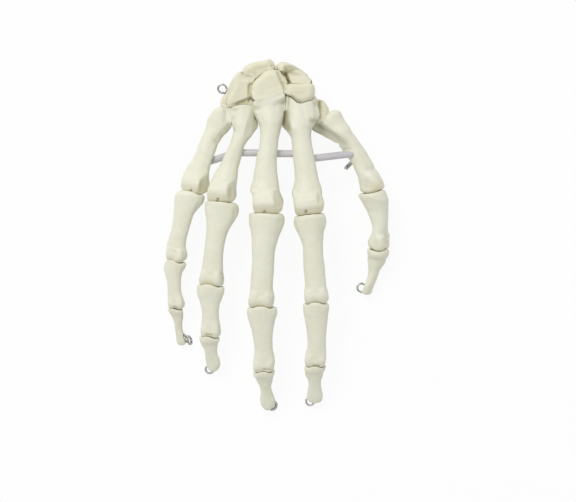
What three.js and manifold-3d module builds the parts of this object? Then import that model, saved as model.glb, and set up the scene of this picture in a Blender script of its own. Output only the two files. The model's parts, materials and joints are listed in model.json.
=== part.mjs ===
// A life-size teaching model of the skeleton of a right hand, lying palm down.
// Each bone is a plastic casting, bored through. A steel wire runs through the bones of each finger and ends in an eye
// at the fingertip, so every finger bends at its joints. One more wire crosses the palm through all five metacarpals,
// with plastic sleeves on it that hold them apart, and two short wires hold the eight wrist bones together.
//
// Sizes are in millimetres. +X points to the thumb side, +Y to the wrist and +Z out of the back of the hand.

import * as THREE from "three";
import { mergeVertices } from "three/addons/utils/BufferGeometryUtils.js";
import Module from "manifold-3d";

const wasm = await Module();
wasm.setup();

// The tables below are drawn for a hand that is DRAWN_LENGTH long, and are brought to HAND_LENGTH.
const DRAWN_LENGTH = 178.3; // from the wrist to the tip of the middle finger
const HAND_LENGTH = 178.3;

const UNSIZED = ["roll", "flex", "turn", "limits", "tilt", "skew", "taper"];

// Clearances
const JOINT_GAP = 0.45; // between two bones that face each other
const WIRE_PLAY = 0.3; // between a wire and its bore, all round
const SLEEVE_PLAY = 0.35; // between a sleeve and the bone that it stands on

// Wires and sleeves
const WIRE_RADIUS = 0.5;
const WIRE_SIDES = 6;
const EYE_RADIUS = 2.2; // to the middle of the wire
const EYE_STEPS = 10;
const EYE_PITCH = 1.2; // how far the wire moves sideways in one turn
const EYE_TURN = 1.06; // turns in an eye
const EYE_LEAD = 6; // how far before a fingertip's eye its wire leaves the middle of the bone
const BEND = 1; // how far from a sharp corner the bend of a wire starts
const SHARP_BEND = 140; // a corner with a smaller angle than this is sharp
const SLEEVE_RADIUS = 1.7;
const SLEEVE_BORE = 0.85;
const SLEEVE_SIDES = 10;

// How finely the bones are faceted
const SHAFT_SIDES = 12;
const HEAD_SEGMENTS = 12;
const SLOT_STEPS = 5;
const DORSAL_ROUNDNESS = 2; // exponent of the back half of a bone's section: 2 is an ellipse
const PALMAR_ROUNDNESS = 2.7; // the palm side of a bone is flatter

const TABLE_SPAN = 200; // of the block that cuts flat what would go below the table

// The fingers. A metacarpal is placed by the centre of its head and the middle of its base. Each phalanx hangs on the
// centre of the head before it: flex is how far it is bent to the palm at rest, turn is how far it points to the thumb
// side, and limits are the ends of its travel from rest, all in degrees. length runs from joint centre to joint centre.
// reach is how far a metacarpal's base runs on to the wrist bones, sway is how far its shaft swings to the thumb side,
// and a wire's eye starts at its height over the table.
const FINGERS = sized({
  thumb: {
    metacarpal: {
      head: [48.9, 27.8, 12.5], base: [28.8, 59.7, 12], roll: 62, bow: 1.6, baseDrop: 2.4, skew: 0,
      headRadius: 6.6, headWidth: 13, kneeWidth: 13.4, shaftWidth: 10.4, shaftDepth: 8.6, baseWidth: 14.5, baseDepth: 17,
    },
    proximal: {
      length: 31.5, flex: 23.1, turn: -6, limits: [-24, 18], bow: 0.7,
      baseWidth: 14, baseDepth: 13.6, shaftWidth: 8.6, shaftDepth: 8, headRadius: 4.9, headWidth: 11,
    },
    distal: {
      length: 28.5, flex: 22, turn: 0.5, limits: [-20, 32],
      baseWidth: 12, baseDepth: 11, shaftWidth: 6, shaftDepth: 4.8, tuftWidth: 8.6, tuftDepth: 4.8,
      eye: { back: 4.2, side: -9.4, height: 1.9, tilt: 0 },
    },
  },
  index: {
    metacarpal: {
      head: [16.2, 17, 26], base: [12.8, 66.8, 20], roll: -5, bow: 1.3, baseDrop: 1.5, skew: -0.15, reach: 3,
      headRadius: 7.2, headWidth: 14.4, kneeWidth: 15, shaftWidth: 9.4, shaftDepth: 9, baseWidth: 17, baseDepth: 15,
    },
    proximal: {
      length: 48, flex: 11.5, turn: 0.3, limits: [-24, 60], bow: 1,
      baseWidth: 16.6, baseDepth: 12.6, shaftWidth: 9.6, shaftDepth: 7.8, headRadius: 4.8, headWidth: 11.6,
    },
    middle: {
      length: 34, flex: 7.3, turn: -5.6, limits: [-12, 64], bow: 0.6,
      baseWidth: 13.8, baseDepth: 9.8, shaftWidth: 9.4, shaftDepth: 6.4, headRadius: 3.7, headWidth: 10,
    },
    distal: {
      length: 24.4, flex: 15.5, turn: -2.8, limits: [-16, 46],
      baseWidth: 11.2, baseDepth: 7.4, shaftWidth: 5.4, shaftDepth: 4.2, tuftWidth: 7.4, tuftDepth: 3.8,
      eye: { back: 0.2, side: -2.2, height: 1.9, tilt: 0 },
    },
  },
  middle: {
    metacarpal: {
      head: [-4.9, 18.5, 27], base: [-3, 70.9, 20.5], roll: -9, bow: 1.4, baseDrop: 1.7, skew: 0.38, reach: 1.5,
      headRadius: 7.3, headWidth: 14.6, kneeWidth: 15.2, shaftWidth: 8.8, shaftDepth: 9, baseWidth: 16.4, baseDepth: 15.6,
    },
    proximal: {
      length: 51, flex: 10.1, turn: -1.7, limits: [-24, 56], bow: 1.1,
      baseWidth: 18, baseDepth: 13.2, shaftWidth: 10.6, shaftDepth: 8.2, headRadius: 5, headWidth: 12.6,
    },
    middle: {
      length: 34.7, flex: 9.5, turn: 1.7, limits: [-12, 62], bow: 0.7,
      baseWidth: 15.8, baseDepth: 10.6, shaftWidth: 9, shaftDepth: 6.6, headRadius: 3.9, headWidth: 10.6,
    },
    distal: {
      length: 25.5, flex: 19.3, turn: 1, limits: [-16, 46],
      baseWidth: 11.6, baseDepth: 7.8, shaftWidth: 5.4, shaftDepth: 4.4, tuftWidth: 7.2, tuftDepth: 4,
      eye: { back: 0.6, side: 2.3, height: 1.9, tilt: 0 },
    },
  },
  ring: {
    metacarpal: {
      head: [-27.4, 23.4, 23], base: [-16.3, 65.3, 18], roll: -16, bow: 1.2, baseDrop: 0.8, skew: 0.45, sway: 2,
      headRadius: 6.5, headWidth: 12.8, kneeWidth: 13.2, shaftWidth: 8, shaftDepth: 8, baseWidth: 12.6, baseDepth: 13.4,
    },
    proximal: {
      length: 45.4, flex: 12.2, turn: 4.8, limits: [-24, 40], bow: 1,
      baseWidth: 16.2, baseDepth: 12.2, shaftWidth: 9.4, shaftDepth: 7.6, headRadius: 4.7, headWidth: 11.8,
    },
    middle: {
      length: 27.7, flex: 8.1, turn: 2, limits: [-12, 60], bow: 0.6,
      baseWidth: 14.8, baseDepth: 9.8, shaftWidth: 7.8, shaftDepth: 6, headRadius: 3.7, headWidth: 9.8,
    },
    distal: {
      length: 23.5, flex: 16.2, turn: -0.5, limits: [-16, 46],
      baseWidth: 10.4, baseDepth: 7, shaftWidth: 5.8, shaftDepth: 4, tuftWidth: 7.2, tuftDepth: 3.8,
      eye: { back: 1.4, side: -0.4, height: 1.9, tilt: 0 },
    },
  },
  little: {
    metacarpal: {
      head: [-40.8, 27, 17.5], base: [-28.1, 62.2, 15], roll: -24, bow: 0.9, baseDrop: 0, skew: 0.8,
      headRadius: 5.8, headWidth: 12.8, kneeWidth: 13.2, shaftWidth: 8.6, shaftDepth: 7.2, baseWidth: 12.2, baseDepth: 11.6,
    },
    proximal: {
      length: 38.6, flex: 9.1, turn: -0.2, limits: [-24, 40], bow: 0.8,
      baseWidth: 13.8, baseDepth: 10.6, shaftWidth: 8.8, shaftDepth: 6.8, headRadius: 4, headWidth: 10,
    },
    middle: {
      length: 25.1, flex: 8.1, turn: 12.2, limits: [-12, 60], bow: 0.4,
      baseWidth: 11.4, baseDepth: 8, shaftWidth: 6.4, shaftDepth: 5.2, headRadius: 3.1, headWidth: 8,
    },
    distal: {
      length: 22.1, flex: 20.9, turn: 3.8, limits: [-16, 46],
      baseWidth: 8, baseDepth: 6, shaftWidth: 3.9, shaftDepth: 3.6, tuftWidth: 5.4, tuftDepth: 3.4,
      eye: { back: 0.8, side: 6.1, height: 4.6, tilt: -60 },
    },
  },
});

// The wrist bones. outline is the bone seen from the back of the hand, middle is the height of its widest part, and up
// and down are its thickness above and below that. taper is the width of its palm side against that of its back.
const CARPALS = sized({
  capitate: {
    middle: 18.5, up: 8, down: 9.5, taper: 0.72,
    outline: [
      [-11.9, 69.5], [-12.7, 73.5], [-11.9, 77.2], [-10, 79.5], [-7.8, 81.3], [-5.4, 83.4], [-2.3, 84.3],
      [1.8, 83.9], [4.3, 81.6], [6.3, 79], [6.9, 77], [5.6, 75.2], [4.5, 73.4], [1.4, 71.4], [-2.2, 70],
      [-7.2, 69], [-11, 68.2],
    ],
  },
  hamate: {
    middle: 17, up: 7.4, down: 8.4, taper: 0.8,
    outline: [
      [-11, 69.5], [-11.4, 74], [-10, 77.6], [-9.6, 80.4], [-12.6, 81], [-15.8, 81.9], [-18.1, 81.6],
      [-20.9, 78.3], [-23.4, 72.9], [-25.2, 68.3], [-25.2, 65], [-21.7, 65.5], [-17.1, 66.3], [-10.4, 66.2],
    ],
  },
  lunate: {
    middle: 16, up: 7.6, down: 8, taper: 0.9,
    outline: [
      [-17.1, 83.4], [-15.6, 85.7], [-13, 87.4], [-9.9, 88.2], [-6.9, 88.6], [-4.3, 89.2], [-2.7, 89.8],
      [-1.5, 89], [-0.5, 87], [0.2, 84.5], [-2.3, 82.6], [-4.8, 81.1], [-8.2, 79.6], [-11.5, 79],
      [-14.5, 80.1],
    ],
  },
  triquetrum: {
    middle: 14.5, up: 6.8, down: 6.4, taper: 0.95,
    outline: [
      [-16.6, 83.6], [-19.1, 83], [-21.6, 80.3], [-23.1, 77], [-24.5, 74], [-26.4, 71.1], [-28.2, 68.6],
      [-27.9, 66], [-26.1, 64.5], [-23.2, 64.8], [-19.1, 69.9], [-16.6, 76], [-14.5, 79.6],
    ],
  },
  trapezoid: {
    middle: 18.5, up: 8.2, down: 7, taper: 0.7,
    outline: [
      [3.4, 75], [5.4, 76.6], [8.5, 77.1], [11.5, 77.1], [15.6, 77], [19.2, 76.8], [20.2, 73.4], [19.3, 69.6],
      [15.6, 67.8], [12.2, 66.8], [9.6, 67.9], [6.8, 70.1], [4.2, 72.2],
    ],
  },
  scaphoid: {
    middle: 15.5, up: 8, down: 8.5, taper: 0.95,
    outline: [
      [0.4, 86.7], [1.3, 88.1], [3.8, 88.2], [7.4, 87.6], [10.5, 85.7], [14, 83.4], [17.3, 80.3], [19.2, 77],
      [16.6, 75], [11.5, 75], [7.9, 75.5], [5.9, 77.5], [3.8, 80.1], [1.8, 82.6], [0.6, 84.7],
    ],
  },
  trapezium: {
    middle: 12.2, up: 7.2, down: 13.4, taper: 0.62,
    outline: [
      [18.1, 68.3], [20.1, 69], [22.2, 69.2], [24.5, 68.5], [26.2, 66.3], [27.4, 63.5], [27.3, 60.4],
      [26, 58.2], [23.2, 57.1], [20.4, 58.1], [18.1, 62.2],
    ],
  },
  pisiform: {
    middle: 3.6, up: 4.4, down: 4.2, taper: 0.95,
    outline: [[-17.8, 73.5], [-19.4, 76.6], [-22.2, 77.2], [-24.8, 75], [-25.4, 71.6], [-23, 68.8], [-19.6, 69.4]],
  },
});
const PEBBLE_ROUNDNESS = 4.6; // exponent of a wrist bone's side view
const PEBBLE_LEVELS = [-0.96, -0.8, -0.4, 0.4, 0.8, 0.96]; // of its half thickness
const PEBBLE_SIDES = 16;
const HOOK_SIDES = 8;
const HAMATE_HOOK = sized({ from: [-16.4, 70.5, 10], to: [-14.8, 69, 2.4], radius: 2.6, tipRadius: 1.9 });

// Wires through the wrist, as points on their middle lines
const WRIST_WIRE = sized({
  eye: [-27.2, 72.5, 17.2],
  route: [[-25, 72.5, 17.2], [-18, 72.6, 17.2], [-8, 73, 16.6], [3, 73, 16.6], [12.5, 72.4, 17]],
});
const PROXIMAL_ROW_WIRE = sized([
  [-21, 77, 12.5], [-17.2, 80.6, 13.5], [-9.5, 84.2, 14.5], [-1.6, 84.8, 14.8], [6, 82.4, 14.6],
]);
const PISIFORM_PIN = sized([[-21.6, 73, 2], [-21.6, 73.6, 11]]);

// The wire across the palm: where it goes into and comes out of each metacarpal, from the little finger to the thumb
const CROSS_WIRE = sized({
  littleEye: [-37.2, 35.4, 9.8],
  intoLittle: [-36.4, 36.4, 12.6],
  outOfLittle: [-35.2, 37.1, 13.8],
  intoRing: [-24.6, 40.6, 18],
  outOfRing: [-21.6, 41.9, 18.8],
  intoMiddle: [-6.4, 41.9, 20.6],
  outOfMiddle: [-2, 41.5, 21],
  intoIndex: [12.2, 41.5, 20.8],
  outOfIndex: [16.8, 38.8, 20.2],
  intoThumb: [39.8, 41.6, 16.6],
  outOfThumb: [39.4, 38.2, 11.4],
  thumbEye: [36.2, 35.2, 9],
});

// Materials, with the colours of the photographed model
const castPlastic = new THREE.MeshStandardMaterial({ color: 0xe6e4d0, roughness: 0.55, metalness: 0 });
const steelWire = new THREE.MeshStandardMaterial({ color: 0x9b9a96, roughness: 0.3, metalness: 1 });
const sleevePlastic = new THREE.MeshStandardMaterial({ color: 0xb9b6b8, roughness: 0.4, metalness: 0 });

const radians = THREE.MathUtils.degToRad;
const mix = THREE.MathUtils.lerp;
const point = (xyz) => new THREE.Vector3(...xyz);

// A table brought to the size of the hand, apart from its angles and shares.
function sized(table) {
  if (typeof table === "number") return (table * HAND_LENGTH) / DRAWN_LENGTH;
  if (Array.isArray(table)) return table.map(sized);
  const entries = Object.entries(table).map(([key, value]) => [key, UNSIZED.includes(key) ? value : sized(value)]);
  return Object.fromEntries(entries);
}

// A closed body through a row of rings that all have the same number of points, capped at both ends.
function skin(rings) {
  const sides = rings[0].length;
  const vertices = rings.flat();
  const middleOf = (ring) => ring.reduce((sum, p) => sum.add(p), new THREE.Vector3()).divideScalar(sides);
  const firstCap = vertices.push(middleOf(rings[0])) - 1;
  const lastCap = vertices.push(middleOf(rings.at(-1))) - 1;
  const faces = [];
  for (let j = 0; j < sides; j++) {
    const next = (j + 1) % sides;
    for (let i = 0; i < rings.length - 1; i++) {
      const low = i * sides;
      const high = low + sides;
      faces.push(low + j, low + next, high + next, low + j, high + next, high + j);
    }
    const last = (rings.length - 1) * sides;
    faces.push(firstCap, next, j, lastCap, last + j, last + next);
  }
  const geometry = new THREE.BufferGeometry().setFromPoints(vertices);
  geometry.setIndex(faces);
  return geometry;
}

function solidOf(geometry) {
  const bare = geometry.clone();
  bare.deleteAttribute("normal");
  bare.deleteAttribute("uv");
  const merged = mergeVertices(bare, 1e-4);
  const solid = new wasm.Manifold(
    new wasm.Mesh({ numProp: 3, vertProperties: merged.attributes.position.array, triVerts: merged.index.array }),
  );
  return solid;
}

function geometryOf(solid) {
  const { vertProperties, triVerts } = solid.getMesh();
  const geometry = new THREE.BufferGeometry();
  geometry.setAttribute("position", new THREE.BufferAttribute(vertProperties, 3));
  geometry.setIndex(new THREE.BufferAttribute(triVerts, 1));
  return geometry;
}

const join = (...geometries) => geometryOf(geometries.map(solidOf).reduce((a, b) => a.add(b)));

// Cutting can leave slivers behind, so only the largest body is kept.
function cut(geometry, ...tools) {
  const left = tools.map(solidOf).reduce((a, b) => a.subtract(b), solidOf(geometry));
  return geometryOf(left.decompose().reduce((a, b) => (a.volume() > b.volume() ? a : b)));
}

// A geometry of one group's frame, in another group's frame.
function moved(geometry, from, to) {
  const change = to.matrixWorld.clone().invert().multiply(from.matrixWorld);
  return geometry.clone().applyMatrix4(change);
}

// A round bar along a line of points, with flat ends.
function bar(points, radius, sides) {
  const legs = points.slice(1).map((p, i) => p.clone().sub(points[i]).normalize());
  const along = points.map((p, i) => (legs[i] ?? legs[i - 1]).clone().add(legs[i - 1] ?? legs[i]).normalize());
  const away = Math.abs(along[0].z) < 0.9 ? new THREE.Vector3(0, 0, 1) : new THREE.Vector3(0, 1, 0);
  let across = new THREE.Vector3().crossVectors(along[0], away).normalize();
  const rings = points.map((p, i) => {
    across = across.clone().addScaledVector(along[i], -across.dot(along[i])).normalize();
    const up = new THREE.Vector3().crossVectors(along[i], across);
    return Array.from({ length: sides }, (_, j) => {
      const angle = (2 * Math.PI * j) / sides;
      return p
        .clone()
        .addScaledVector(across, radius * Math.cos(angle))
        .addScaledVector(up, radius * Math.sin(angle));
    });
  });
  return skin(rings);
}

const wire = (points) => bar(points, WIRE_RADIUS, WIRE_SIDES);
const bore = (points) => bar(points, WIRE_RADIUS + WIRE_PLAY, WIRE_SIDES);
const spanOf = ({ head, base }) => point(head).distanceTo(point(base));

// The points of a wire that arrives along a line and then winds into an eye. The wire meets the eye on its rim, the
// eye's plane holds the line and the direction inward, to its centre, and the winding drifts to one side.
function eyePoints(start, arrival, inward, drift) {
  const centre = start.clone().addScaledVector(inward, EYE_RADIUS);
  return Array.from({ length: EYE_STEPS + 1 }, (_, i) => {
    const turn = (EYE_TURN * i) / EYE_STEPS;
    const angle = 2 * Math.PI * turn;
    return centre
      .clone()
      .addScaledVector(inward, -EYE_RADIUS * Math.cos(angle))
      .addScaledVector(arrival, EYE_RADIUS * Math.sin(angle))
      .addScaledVector(drift, EYE_PITCH * turn);
  });
}

// One section of a long bone, at y along it. The two halves, dorsal and palmar, have their own heights. skew is how far
// the section is set on for each millimetre to the thumb side.
function section({ y, width, dorsal, palmar, x: aside = 0, z = 0, skew = 0 }, extra) {
  return Array.from({ length: SHAFT_SIDES }, (_, j) => {
    const angle = (2 * Math.PI * (j + 0.5)) / SHAFT_SIDES;
    const [c, s] = [Math.cos(angle), Math.sin(angle)];
    const power = 2 / (s > 0 ? DORSAL_ROUNDNESS : PALMAR_ROUNDNESS);
    const height = extra + (s > 0 ? dorsal : palmar);
    const x = (extra + width / 2) * Math.sign(c) * Math.abs(c) ** power;
    return new THREE.Vector3(aside + x, y + skew * x, z + height * Math.sign(s) * Math.abs(s) ** power);
  });
}

// A long bone through sections that run towards +Y, made larger all round by extra.
function shaft(stations, extra = 0) {
  stations[0].y -= extra;
  stations.at(-1).y += extra;
  return skin(stations.map((station) => section(station, extra).reverse()));
}

// A body turned about the X axis, from points [x, radius].
function turned(profile) {
  const lathe = new THREE.LatheGeometry(profile.map(([x, r]) => new THREE.Vector2(r, x)), HEAD_SEGMENTS);
  return lathe.rotateZ(-Math.PI / 2);
}

// The round head of a metacarpal, about its joint's axis.
function ballHead({ headRadius: r, headWidth }, extra = 0) {
  const half = headWidth / 2 + extra;
  const right = [[0.45, 0.98], [0.78, 0.86], [0.96, 0.66]].map(([x, share]) => [x * half, share * r + extra]);
  const left = right.map(([x, radius]) => [-x, radius]).reverse();
  return turned([[-half, 0], ...left, ...right, [half, 0]]);
}

// The head of a phalanx: two condyles with a groove between them, like a pulley.
function pulleyHead({ headRadius: r, headWidth }, extra = 0) {
  const half = headWidth / 2 + extra;
  const right = [[0.18, 0.9], [0.6, 1], [0.96, 0.74]].map(([x, share]) => [x * half, share * r + extra]);
  const left = right.map(([x, radius]) => [-x, radius]).reverse();
  return turned([[-half, 0], ...left, ...right, [half, 0]]);
}

// A metacarpal, from its head, whose centre is the origin, to its base at +Y.
function metacarpalBody(bone, extra = 0) {
  const length = spanOf(bone);
  const { headRadius: r, headWidth, kneeWidth, shaftWidth, shaftDepth, bow } = bone;
  const { baseWidth, baseDepth, baseDrop, skew, sway = 0, reach = 0 } = bone;
  const half = shaftDepth / 2;
  const base = { dorsal: 0.48 * baseDepth, palmar: 0.5 * baseDepth, z: -baseDrop, skew };
  return shaft([
    { y: -0.3 * r, width: 0.7 * headWidth, dorsal: 0.55 * r, palmar: 0.6 * r },
    { y: 0.45 * r, width: kneeWidth, dorsal: 0.8 * r, palmar: 0.8 * r },
    { y: 1.1 * r, width: mix(kneeWidth, shaftWidth, 0.2), dorsal: 0.74 * r, palmar: 0.6 * r },
    { y: 0.27 * length, width: mix(kneeWidth, shaftWidth, 0.62), dorsal: half, palmar: half, z: 0.6 * bow },
    { y: 0.42 * length, width: mix(kneeWidth, shaftWidth, 0.94), dorsal: half, palmar: half, x: 0.4 * sway, z: bow },
    { y: 0.58 * length, width: shaftWidth, dorsal: half, palmar: half, x: 0.9 * sway, z: bow },
    { y: 0.66 * length, width: mix(shaftWidth, baseWidth, 0.3), dorsal: 1.1 * half, palmar: 1.15 * half, x: sway, z: 0.8 * bow },
    { y: 0.75 * length, width: mix(shaftWidth, baseWidth, 0.9), dorsal: 0.42 * baseDepth, palmar: 0.44 * baseDepth, x: sway },
    { y: 0.88 * length, width: baseWidth, ...base, x: 0.5 * sway, skew: 0.5 * skew },
    { y: length + reach + 1, width: 0.98 * baseWidth, ...base },
    { y: length + reach + 2.6, width: 0.75 * baseWidth, ...base, dorsal: 0.36 * baseDepth, palmar: 0.36 * baseDepth },
  ], extra);
}

// A proximal or middle phalanx, from the joint centre at the origin to the centre of its own head at -Y. seat is the
// radius of the head that its base sits on.
function phalanxBody(bone, seat) {
  const { length, headRadius: r, headWidth, shaftWidth, shaftDepth, baseWidth, baseDepth, bow } = bone;
  const half = shaftDepth / 2;
  const deep = baseDepth / 2;
  const waist = mix(shaftWidth, baseWidth, 0.38);
  return shaft([
    { y: -length - 0.4 * r, width: 0.72 * headWidth, dorsal: 0.5 * r, palmar: 0.6 * r },
    { y: -length + 0.45 * r, width: 0.97 * headWidth, dorsal: 0.76 * r, palmar: 0.82 * r },
    { y: -length + 1.3 * r, width: mix(headWidth, shaftWidth, 0.35), dorsal: mix(0.75 * r, half, 0.5), palmar: 0.74 * r },
    { y: -0.72 * length, width: mix(headWidth, shaftWidth, 0.9), dorsal: half, palmar: 0.92 * half, z: 0.7 * bow },
    { y: -0.5 * length, width: shaftWidth, dorsal: half, palmar: 0.95 * half, z: bow },
    { y: -seat - 0.2 * length, width: waist, dorsal: mix(half, deep, 0.3), palmar: mix(half, deep, 0.4), z: 0.6 * bow },
    { y: -seat - 0.08 * length, width: mix(shaftWidth, baseWidth, 0.9), dorsal: 0.92 * deep, palmar: 0.95 * deep },
    { y: -1.08 * seat, width: baseWidth, dorsal: 0.96 * deep, palmar: deep },
    { y: -0.88 * seat, width: 0.88 * baseWidth, dorsal: 0.84 * deep, palmar: 0.88 * deep },
  ]);
}

// A distal phalanx, from the joint centre at the origin to its tip at -Y: a base, a waist and a flat tuft.
function distalBody(bone, seat) {
  const { length, shaftWidth, shaftDepth, baseWidth, baseDepth, tuftWidth, tuftDepth } = bone;
  const half = shaftDepth / 2;
  const deep = baseDepth / 2;
  const flat = tuftDepth / 2;
  const waist = mix(shaftWidth, baseWidth, 0.35);
  return shaft([
    { y: -length, width: 0.42 * tuftWidth, dorsal: 0.55 * flat, palmar: 0.55 * flat },
    { y: -length + 1.1, width: 0.8 * tuftWidth, dorsal: 0.85 * flat, palmar: 0.9 * flat },
    { y: -0.84 * length, width: tuftWidth, dorsal: flat, palmar: flat },
    { y: -0.7 * length, width: mix(tuftWidth, shaftWidth, 0.7), dorsal: mix(flat, half, 0.5), palmar: half },
    { y: -0.54 * length, width: shaftWidth, dorsal: half, palmar: half },
    { y: mix(-0.54 * length, -seat, 0.6), width: waist, dorsal: mix(half, deep, 0.35), palmar: mix(half, deep, 0.45) },
    { y: -1.4 * seat, width: 0.98 * baseWidth, dorsal: 0.95 * deep, palmar: deep },
    { y: -1.05 * seat, width: baseWidth, dorsal: 0.95 * deep, palmar: deep },
    { y: -0.85 * seat, width: 0.86 * baseWidth, dorsal: 0.82 * deep, palmar: 0.86 * deep },
  ]);
}

// A wrist bone: its outline, drawn in towards the top and the bottom.
function pebble({ outline, middle, up, down, taper }, extra = 0) {
  const curve = new THREE.CatmullRomCurve3(outline.map(([x, y]) => new THREE.Vector3(x, y, 0)), true, "centripetal");
  const rim = curve.getSpacedPoints(PEBBLE_SIDES).slice(0, PEBBLE_SIDES);
  const centre = rim.reduce((sum, p) => sum.add(p), new THREE.Vector3()).divideScalar(PEBBLE_SIDES);
  const turnsLeft = THREE.ShapeUtils.area(rim) > 0;
  const rings = PEBBLE_LEVELS.map((level) => {
    const drawIn = (1 - Math.abs(level) ** PEBBLE_ROUNDNESS) ** (1 / PEBBLE_ROUNDNESS);
    const share = drawIn * (level < 0 ? mix(1, taper, -level) : 1);
    const z = middle + level * ((level > 0 ? up : down) + extra);
    const ring = rim.map((p) => {
      const out = p.clone().sub(centre);
      return out.setLength(share * out.length() + extra).add(centre).setZ(z);
    });
    return turnsLeft ? ring : ring.reverse();
  });
  return skin(rings);
}

// The slot in a head that the next bone's wire swings through, from the joint centre out past the head.
function swingSlot({ headRadius }, { turn, flex, limits }) {
  const half = WIRE_RADIUS + WIRE_PLAY;
  const reach = 2 * headRadius;
  const rings = Array.from({ length: SLOT_STEPS + 1 }, (_, i) => {
    const share = i / SLOT_STEPS;
    const bend = new THREE.Euler(radians(flex + mix(limits[0], limits[1], share)), 0, 0);
    const along = new THREE.Vector3(Math.sin(radians(turn)), -Math.cos(radians(turn)), 0).applyEuler(bend);
    const aside = new THREE.Vector3(0, 0, -1).applyEuler(bend).multiplyScalar(mix(-half, half, share));
    const corner = (distance, side) => along.clone().multiplyScalar(distance).add(aside).setX(along.x * distance + side);
    return [corner(half / 2, -half), corner(half / 2, half), corner(reach, half), corner(reach, -half)];
  });
  const pivot = bar([new THREE.Vector3(-half, 0, 0), new THREE.Vector3(half, 0, 0)], half * 1.1, WIRE_SIDES + 2);
  return join(skin(rings), pivot);
}

// Frames: one group for each bone of each finger, with its joint at the group's origin.
const hand = new THREE.Group();
const frames = {};
for (const [finger, bones] of Object.entries(FINGERS)) {
  const { head, base, roll } = bones.metacarpal;
  const metacarpal = new THREE.Group();
  const y = point(base).sub(point(head)).normalize();
  const x = new THREE.Vector3().crossVectors(y, new THREE.Vector3(0, 0, 1)).normalize();
  const z = new THREE.Vector3().crossVectors(x, y);
  metacarpal.position.copy(point(head));
  metacarpal.quaternion.setFromRotationMatrix(new THREE.Matrix4().makeBasis(x, y, z));
  metacarpal.rotateY(radians(roll));
  hand.add(metacarpal);
  frames[finger] = { metacarpal };
  let parent = metacarpal;
  let reach = 0;
  for (const [part, name] of Object.entries({ proximal: "mcp", middle: "pip", distal: finger === "thumb" ? "ip" : "dip" })) {
    if (!bones[part]) continue;
    const group = new THREE.Group();
    group.name = `${finger}_${name}`;
    group.position.set(0, -reach, 0);
    group.rotation.set(radians(bones[part].flex), 0, radians(bones[part].turn));
    parent.add(group);
    frames[finger][part] = group;
    parent = group;
    reach = bones[part].length;
  }
}
hand.updateMatrixWorld(true);

function addMesh(group, name, geometry, material) {
  const mesh = new THREE.Mesh(geometry, material);
  mesh.geometry.computeVertexNormals();
  mesh.name = name;
  group.add(mesh);
}

// The wire of each metacarpal runs on into the wrist bone behind it.
const ANCHORS = { thumb: "trapezium", index: "trapezoid", middle: "capitate", ring: "hamate", little: "hamate" };
const ANCHOR_DEPTH = 6;
const WIRE_END = WIRE_RADIUS + WIRE_PLAY; // a wire stops this far short of the next one's swing

function metacarpalRun(finger) {
  const span = spanOf(FINGERS[finger].metacarpal);
  return [new THREE.Vector3(0, WIRE_END, 0), new THREE.Vector3(0, span + ANCHOR_DEPTH, 0)];
}

// A metacarpal made larger all round, in another group's frame.
function metacarpalAround(finger, extra, frame) {
  const bone = FINGERS[finger].metacarpal;
  return moved(metacarpalBody(bone, extra), frames[finger].metacarpal, frame);
}

// A run of wire with both ends drawn out by the play, for its bore.
function longer(run) {
  const first = run[0].clone().sub(run[1]).setLength(WIRE_PLAY).add(run[0]);
  const last = run.at(-1).clone().sub(run.at(-2)).setLength(WIRE_PLAY).add(run.at(-1));
  return [first, ...run, last];
}

// The hook of the hamate, a peg that narrows to its tip.
function hookBetween(from, to, radius, tipRadius) {
  const ring = (at, size) =>
    Array.from({ length: HOOK_SIDES }, (_, j) => {
      const angle = (2 * Math.PI * j) / HOOK_SIDES;
      return new THREE.Vector3(size * Math.cos(angle), -size * Math.sin(angle), 0).add(at);
    });
  return skin([ring(from, radius), ring(to, tipRadius)]);
}

// The direction nearest to a wish that stands square on a line.
const square = (line, wish) => wish.clone().addScaledVector(line, -wish.dot(line)).normalize();

// A run of wire with its sharp corners bent round.
function rounded(run) {
  return run.flatMap((corner, i) => {
    if (i === 0 || i === run.length - 1) return [corner];
    const before = run[i - 1].clone().sub(corner).setLength(BEND);
    const after = run[i + 1].clone().sub(corner).setLength(BEND);
    if (before.angleTo(after) > radians(SHARP_BEND)) return [corner];
    const middle = before.clone().add(after).multiplyScalar(0.25);
    return [before, middle, after].map((step) => step.add(corner));
  });
}

// A run of wire with an eye wound on its end, in the plane nearest to the wish and drifting away from the bones.
function withEye(run, start, wish, drift) {
  const arrival = start.clone().sub(run.at(-1)).normalize();
  return [...run, ...eyePoints(start, arrival, square(arrival, point(wish)), point(drift))];
}

const crossNames = [
  "intoLittle", "outOfLittle", "intoRing", "outOfRing", "intoMiddle", "outOfMiddle", "intoIndex", "outOfIndex",
  "intoThumb", "outOfThumb",
];
const crossRun = rounded(crossNames.map((name) => point(CROSS_WIRE[name])));
const crossBore = bore([point(CROSS_WIRE.littleEye), ...crossRun, point(CROSS_WIRE.thumbEye)]);
const toThumbEye = withEye(crossRun, point(CROSS_WIRE.thumbEye), [0, 0, -1], [0.5, -0.85, 0]);
const crossWire = wire(withEye(toThumbEye.reverse(), point(CROSS_WIRE.littleEye), [-1, 0.4, 0], [0.4, -1, 0]));

const smooth = (points, steps) => new THREE.CatmullRomCurve3(points.map(point)).getSpacedPoints(steps);
const proximalRowRun = smooth(PROXIMAL_ROW_WIRE, 6);
const pisiformPinRun = PISIFORM_PIN.map(point);
const wristRun = WRIST_WIRE.route.map(point);
const wristWire = wire(withEye(wristRun.toReversed(), point(WRIST_WIRE.eye), [0, 1, 0], [0, 0, 1]));

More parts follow.
